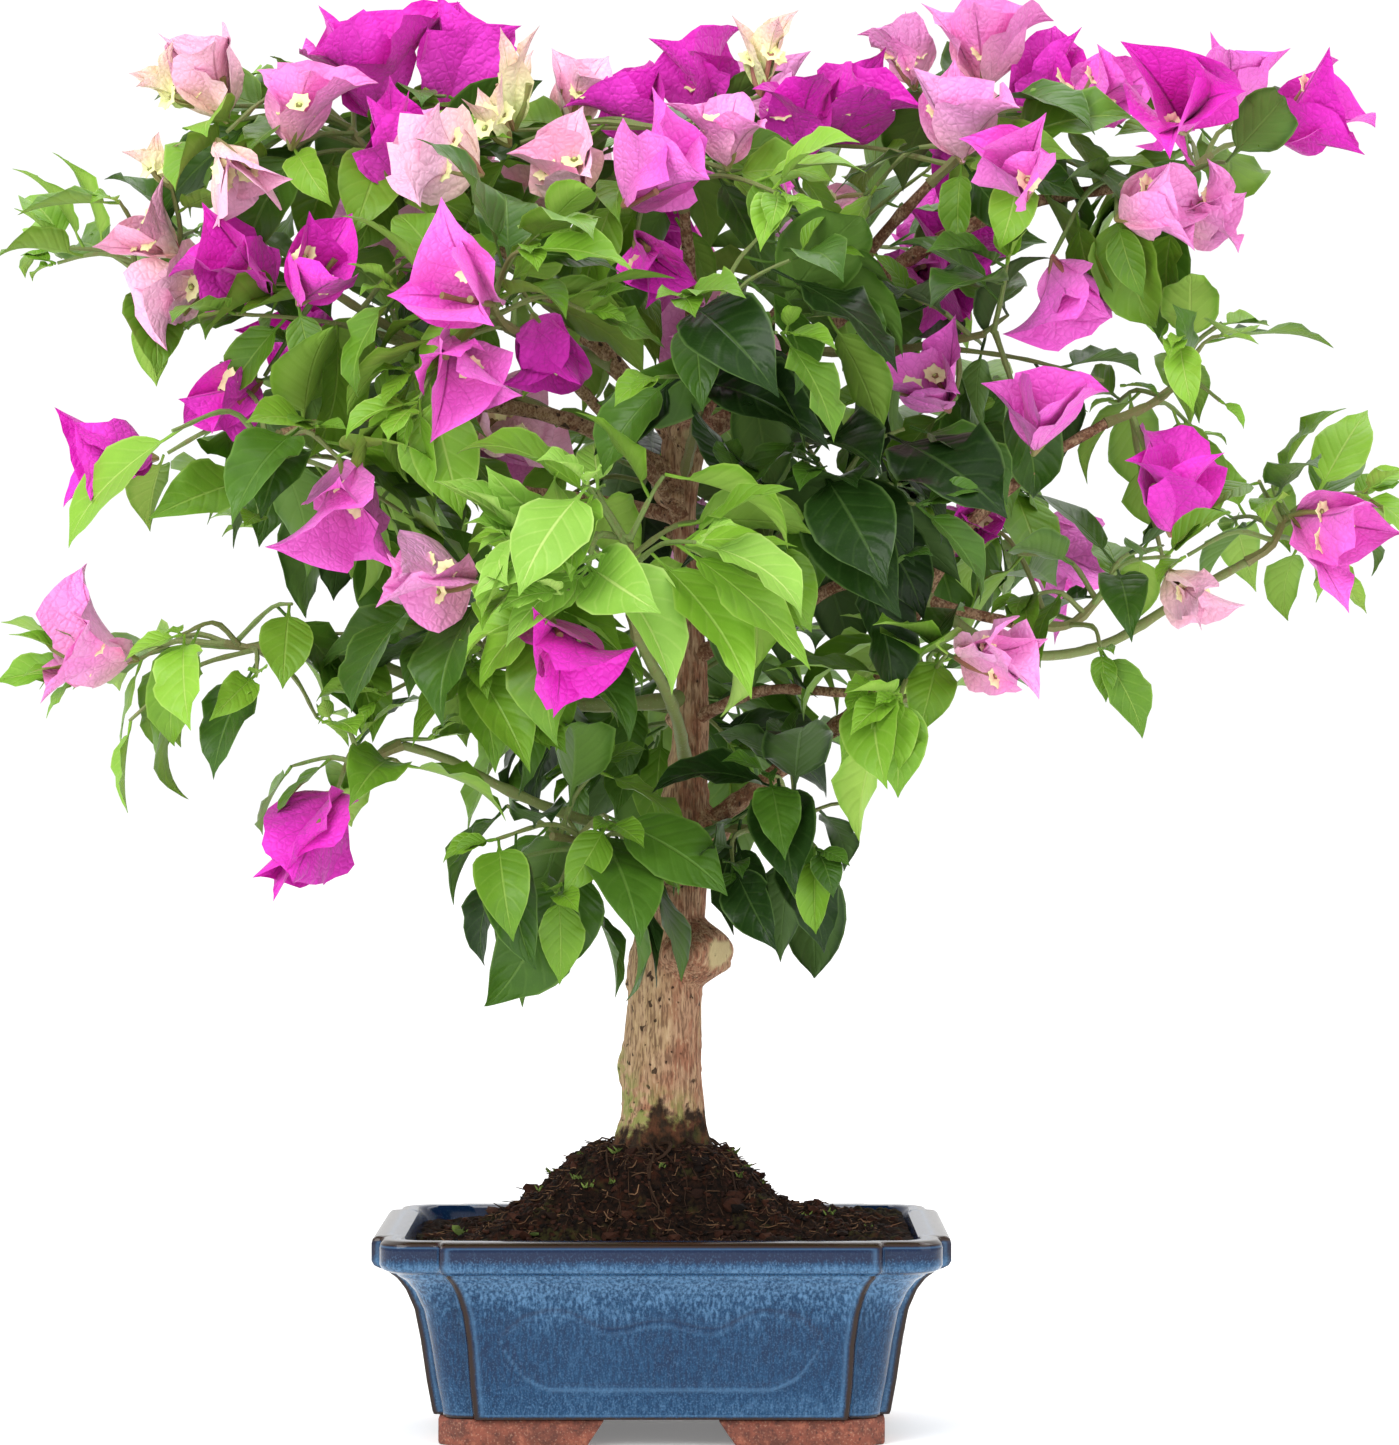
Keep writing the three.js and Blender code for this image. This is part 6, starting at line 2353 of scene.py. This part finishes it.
    @staticmethod
    def _samples(root: Array, along: Array, face: Array, length: float, droop: float) -> Array:
        """Points along and beside a blade that stand for it in tests.

        Args:
            root: Where it starts.
            along: Its direction.
            face: The way its upper face looks.
            length: Its length.
            droop: How far its tip bends down, as a share of its length.

        Returns:
            Seven points.
        """
        shares = np.array([0.35, 0.62, 0.95])
        line = root + np.outer(shares * length * 1.15, along) - np.outer(droop * length * shares**2, face)
        side = np.cross(face, along) * length * 0.2
        return np.vstack([line, line[:2] + side, line[:2] - side])

    def _inside(self, points: Array) -> bool:
        """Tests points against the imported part's box and the picture's open places.

        Args:
            points: The points of a blade or bloom.

        Returns:
            True where they are in the box, and in no open place as the camera sees it.
        """
        near = self.view_distance / (self.view_distance + points[:, 1:2])
        seen = (points[:, (0, 2)] - self.view_point) * near + self.view_point
        low, high = CROWN_LOW - self.box_room, CROWN_HIGH + self.box_room
        if not (np.all(points > low) and np.all(points < high)):
            return False
        if seen[:, 1].max() > self.view_top or points[:, 2].min() < self.lowest:
            return False
        inside = norm(seen[:, None] - self.gap_spots, axis=2) < self.gap_sizes
        return not np.any(inside & (points[:, 1].min() < self.gap_fronts))

    def _leaves(self, mass: Mass, line: Path, size: float, tone: float, draw: Draws) -> float:
        """Leaves along one shoot, at the golden angle.

        Args:
            mass: The mass that they belong to.
            line: The shoot.
            size: Their usual length.
            tone: From 0 for the darkest to 4 for the lightest.
            draw: The numbers for what varies.

        Returns:
            How far along the shoot the last leaf sits.
        """
        middle, oval = np.array(mass.middle, float), np.array(mass.reach, float)
        flowery = mass.middle[2] > self.flowery_height
        ceiling = middle[2] + (0.62 if flowery else 1.2) * oval[2]
        count = max(3, int(round(line.length / self.leaf_step)))
        furthest = 0.0
        for node in range(count):
            share = 0.95 - 0.8 * node / count
            length = size * draw.between(0.7, 1.22) * (0.85 if share > 0.85 else 1.0)
            first = node * GOLDEN_ANGLE + TURN * draw()
            hang = mass.hang * (0.25 + 0.85 * draw())
            jitter = draw()
            stray = np.array([draw() - 0.5, draw() - 0.5, draw() - 0.5])
            root, tangent = line.at(share), line.tangent(share)
            level = across(UP, tangent)
            beside = np.cross(tangent, level)
            outward = unit(root - middle)
            best, chosen = self.clearance, None
            for attempt in range(self.leaf_tries):
                turn = first + attempt * 0.9
                along = 0.45 * tangent + cos(turn) * level + sin(turn) * beside
                along = unit(along + 0.4 * outward - hang * UP)
                face = across(0.6 * outward + 0.8 * UP + 0.9 * stray + np.array([0, -0.3, 0]), along)
                points = self._samples(root, along, face, length, 0.2)
                from_middle = norm((points[2] - middle) / oval)
                if from_middle > 1.18 or points[:, 2].max() > ceiling:
                    continue
                if not self._inside(points) or not self._off_limbs(points):
                    continue
                gap = self._gap(points)
                if gap > best:
                    best, chosen = gap, (along, face, points)
            if chosen is None:
                continue
            along, face, points = chosen
            self.filled = np.vstack([self.filled, points])
            # Leaves near the trunk, below the crown's top, take darker greens as painted shade inside the
            # crown; leaves near a shoot's tip take lighter, younger greens.
            inner = 0.9 * max(0.0, 1 - norm(root[:2]) / 80) * (root[2] < 430)
            green = tone + (0.7 if share > 0.82 else 0.0) - inner + 1.6 * (jitter - 0.5)
            self._leaf(root, along, face, length, green, draw)
            furthest = max(furthest, share)
        return furthest

    def _leaf(
        self, root: Array, along: Array, face: Array, length: float, green: float, draw: Draws
    ) -> None:
        """Adds one leaf.

        Args:
            root: Where it starts.
            along: Its direction.
            face: The way its upper face looks.
            length: Its length.
            green: Its tone, which is rounded to the nearest one that there is.
            draw: The numbers for what varies.
        """
        leaf = Blade(
            root, along, face, length,
            curl=0.15 + 0.85 * draw(), fold=0.1 + 0.4 * draw(), cup=-0.1 + 0.25 * draw(),
            ruffle=0.05 + 0.15 * draw(), phase=6.3 * draw(), twist=0.9 * (draw() - 0.5), mark=draw(),
            broad=0.84 + 0.3 * draw(),
        )
        self.leaves[LeafTone(int(min(4, max(0, round(green)))))].blades.append(leaf)

    def _tip(
        self, line: Path, size: float, tone: float, count: int, draw: Draws, room: float = 7.0
    ) -> bool:
        """Small young leaves that end a shoot.

        Args:
            line: The shoot.
            size: The length of a grown leaf there.
            tone: Their green.
            count: How many there may be.
            draw: The numbers for what varies.
            room: How clear of the set blooms they keep.

        Returns:
            True where there is one.
        """
        made = False
        tangent = line.tangent(1.0)
        level = across(UP, tangent)
        for index in range(count):
            side = turned(level, tangent, index * GOLDEN_ANGLE + 6.3 * draw())
            along = unit(tangent + (0.5 + 0.15 * index) * side + 0.1 * UP)
            length = size * (0.3 + 0.12 * index)
            face = across(UP * 0.8 - side * 0.3 + np.array([0, -0.3, 0]), along)
            root = line.at(1.0 - 0.03 * index)
            points = self._samples(root, along, face, length, 0.1)
            if self._inside(points) and not self._hides(points, room):
                self._leaf(root, along, face, length, tone, draw)
                made = True
        return made

    def _bloom(
        self, foot: Array, base: Array, axis: Array, size: float, tone: BractTone, draw: Draws,
        forced: bool = False,
    ) -> bool:
        """Three bracts round three small flowers, where there is room.

        Args:
            foot: Where its stalk leaves the twig.
            base: Where its bracts meet.
            axis: The way it faces.
            size: The length of a bract.
            tone: The colour of its bracts.
            draw: The numbers for what varies.
            forced: True where it is made even if it crowds another blade.

        Returns:
            True where it was made.
        """
        spin, opening, star_draw = TURN * draw(), 0.3 + 0.38 * draw(), draw()
        if tone is CREAM:
            opening = 0.22 + 0.2 * opening
        numbers = [[draw() for _ in range(7)] for _ in range(3)]
        first = across(np.array([cos(spin), sin(spin), 0.3]), axis)
        for attempt in range(self.bloom_tries):
            plan = []
            for bract, shape in enumerate(numbers):
                uneven = 0.9 * (shape[0] - 0.5)
                away = turned(first, axis, TURN * bract / 3 + 0.35 * attempt + uneven)
                lean = opening - 0.04 * attempt + 0.5 * (shape[6] - 0.5)
                along = unit(cos(lean) * axis + sin(lean) * away)
                face = across(axis, along)
                plan.append((along, face, self._samples(base, along, face, size, 0.1)))
            every = np.vstack([points for _, _, points in plan])
            free = forced or (self._inside(every) and self._off_limbs(every))
            if forced or (free and self._gap(every) > 0.7 * self.clearance):
                break
        else:
            return False
        self.filled = np.vstack([self.filled, every])
        if forced:
            guards = [every - np.array([0, ahead, 0]) for ahead in self.guard]
            self.filled = np.vstack([self.filled, *guards])
            self.guards = np.vstack([self.guards, every - np.array([0, 5, 0]), *guards])
        for (along, face, _), shape in zip(plan, numbers):
            bract = Blade(
                base + along * 0.8, along, face, size * (0.88 + 0.24 * shape[4]),
                curl=-0.1 + 1.25 * shape[1], fold=0.05 + 0.6 * shape[2] ** 2, cup=0.25 + 0.7 * shape[3],
                ruffle=0.08 + 0.2 * shape[4], phase=6.3 * shape[5], twist=1.3 * (shape[4] - 0.5),
                mark=shape[5], broad=0.76 + 0.24 * shape[2],
            )
            self.bracts[tone].blades.append(bract)
        if norm(base - foot) > 1:
            stalk = spline(np.stack([foot, base]), 2.0)
            self.twigs.tube(stalk, np.linspace(0.75, 0.6, len(stalk)), 5, 0.1)
        open_share = 0.5 if tone in (MAGENTA, ORCHID) else 0.85
        self._flowers(base, axis, first, size, (star_draw, open_share), draw)
        return True

    def _flowers(
        self, base: Array, axis: Array, first: Array, size: float, opens: tuple[float, float], draw: Draws
    ) -> None:
        """Three slim tubes, some of them open as small stars that turn outward.

        Args:
            base: Where the tubes start.
            axis: The way the bloom faces.
            first: The side on which the first tube stands.
            size: The length of a bract.
            opens: A number drawn for the bloom, and the share of tubes that may be open.
            draw: The numbers for what varies.
        """
        for index in range(3):
            away = turned(first, axis, TURN * (index / 3))
            length = size * draw.between(0.4, 0.56)
            along = unit(axis + 0.36 * away)
            curve = np.stack([base, base + along * length * 0.5 + away * 0.8, base + along * length])
            path = spline(curve, 2.6)
            shares = np.linspace(0, 1, len(path))
            radii = 0.85 + 0.4 * np.exp(-(((shares - 0.3) / 0.22) ** 2)) + 0.45 * shares**6
            self.tubes.tube(path, radii, 7, draw() * (0.35 if opens[0] < 0.6 else 1.0))
            chance = draw()
            outward = np.array([0.006 * base[0], -1.0 if base[1] < 15 else 1.0, 0.2])
            facing = unit(along + 1.1 * outward)
            if chance < 0.4 and opens[0] < 0.62:
                self._star(path[-1], facing, self.star_reach * draw.between(0.85, 1.1), draw)
            elif chance < opens[1]:
                more = Draws(int(1e6 * chance))
                self._star(path[-1], facing, self.star_reach * more.between(0.85, 1.1), more)

    def _star(self, spot: Array, axis: Array, reach: float, draw: Draws) -> None:
        """A small open corolla of five notched lobes with a hollow middle.

        Args:
            spot: Its middle.
            axis: The way it faces.
            reach: Its radius.
            draw: The numbers for what varies.
        """
        first = across(np.array([0.2, 0.3, 1.0]), axis)
        other = np.cross(axis, first)
        spin, mark, points = draw() * 6.3, 0.85 + 0.4 * draw(), 30
        turns = np.arange(points) * TURN / points
        around = np.cos(turns + spin)[:, None] * first + np.sin(turns + spin)[:, None] * other
        rings = []
        for share, rise in ((0.16, -0.9), (0.45, 0.35), (1.0, 0.75)):
            lobes = 1 + 0.05 * share * np.cos(5 * turns) + 0.1 * share * np.cos(10 * turns)
            waves = rise + 0.5 * share * np.cos(5 * turns)
            rings.append(spot + (reach * share * lobes)[:, None] * around + waves[:, None] * axis)
        loops = np.vstack([*rings, *(ring - 0.35 * axis for ring in rings[::-1])])
        faces = []
        for row in range(len(rings) * 2):
            below = (row + 1) % (len(rings) * 2)
            for k in range(points):
                following = (k + 1) % points
                here, under = row * points, below * points
                faces.append((here + k, under + k, under + following, here + following))
        self.stars.add(loops, faces, mark)
        throat = np.stack([spot - 0.8 * axis, spot + 0.3 * axis])
        self.stars.tube(throat, np.full(2, 0.14 * reach), 8, 0.1)


def main() -> None:
    """Builds the studio and every piece, in order."""
    logging.basicConfig(level=logging.INFO, format="%(message)s")
    Studio().build()
    LOG.info("studio ready")
    Pot().build()
    LOG.info("pot ready")
    Feet().build()
    LOG.info("feet ready")
    Soil().build()
    LOG.info("soil ready")
    trunk = Trunk()
    trunk_piece = trunk.build()
    LOG.info("trunk ready")
    limbs = Limbs(trunk)
    limbs.trace()
    limbs.build(trunk_piece)
    LOG.info("boughs ready")
    Crown(limbs).build()
    LOG.info("crown ready")


if __name__ == "__main__":
    main()
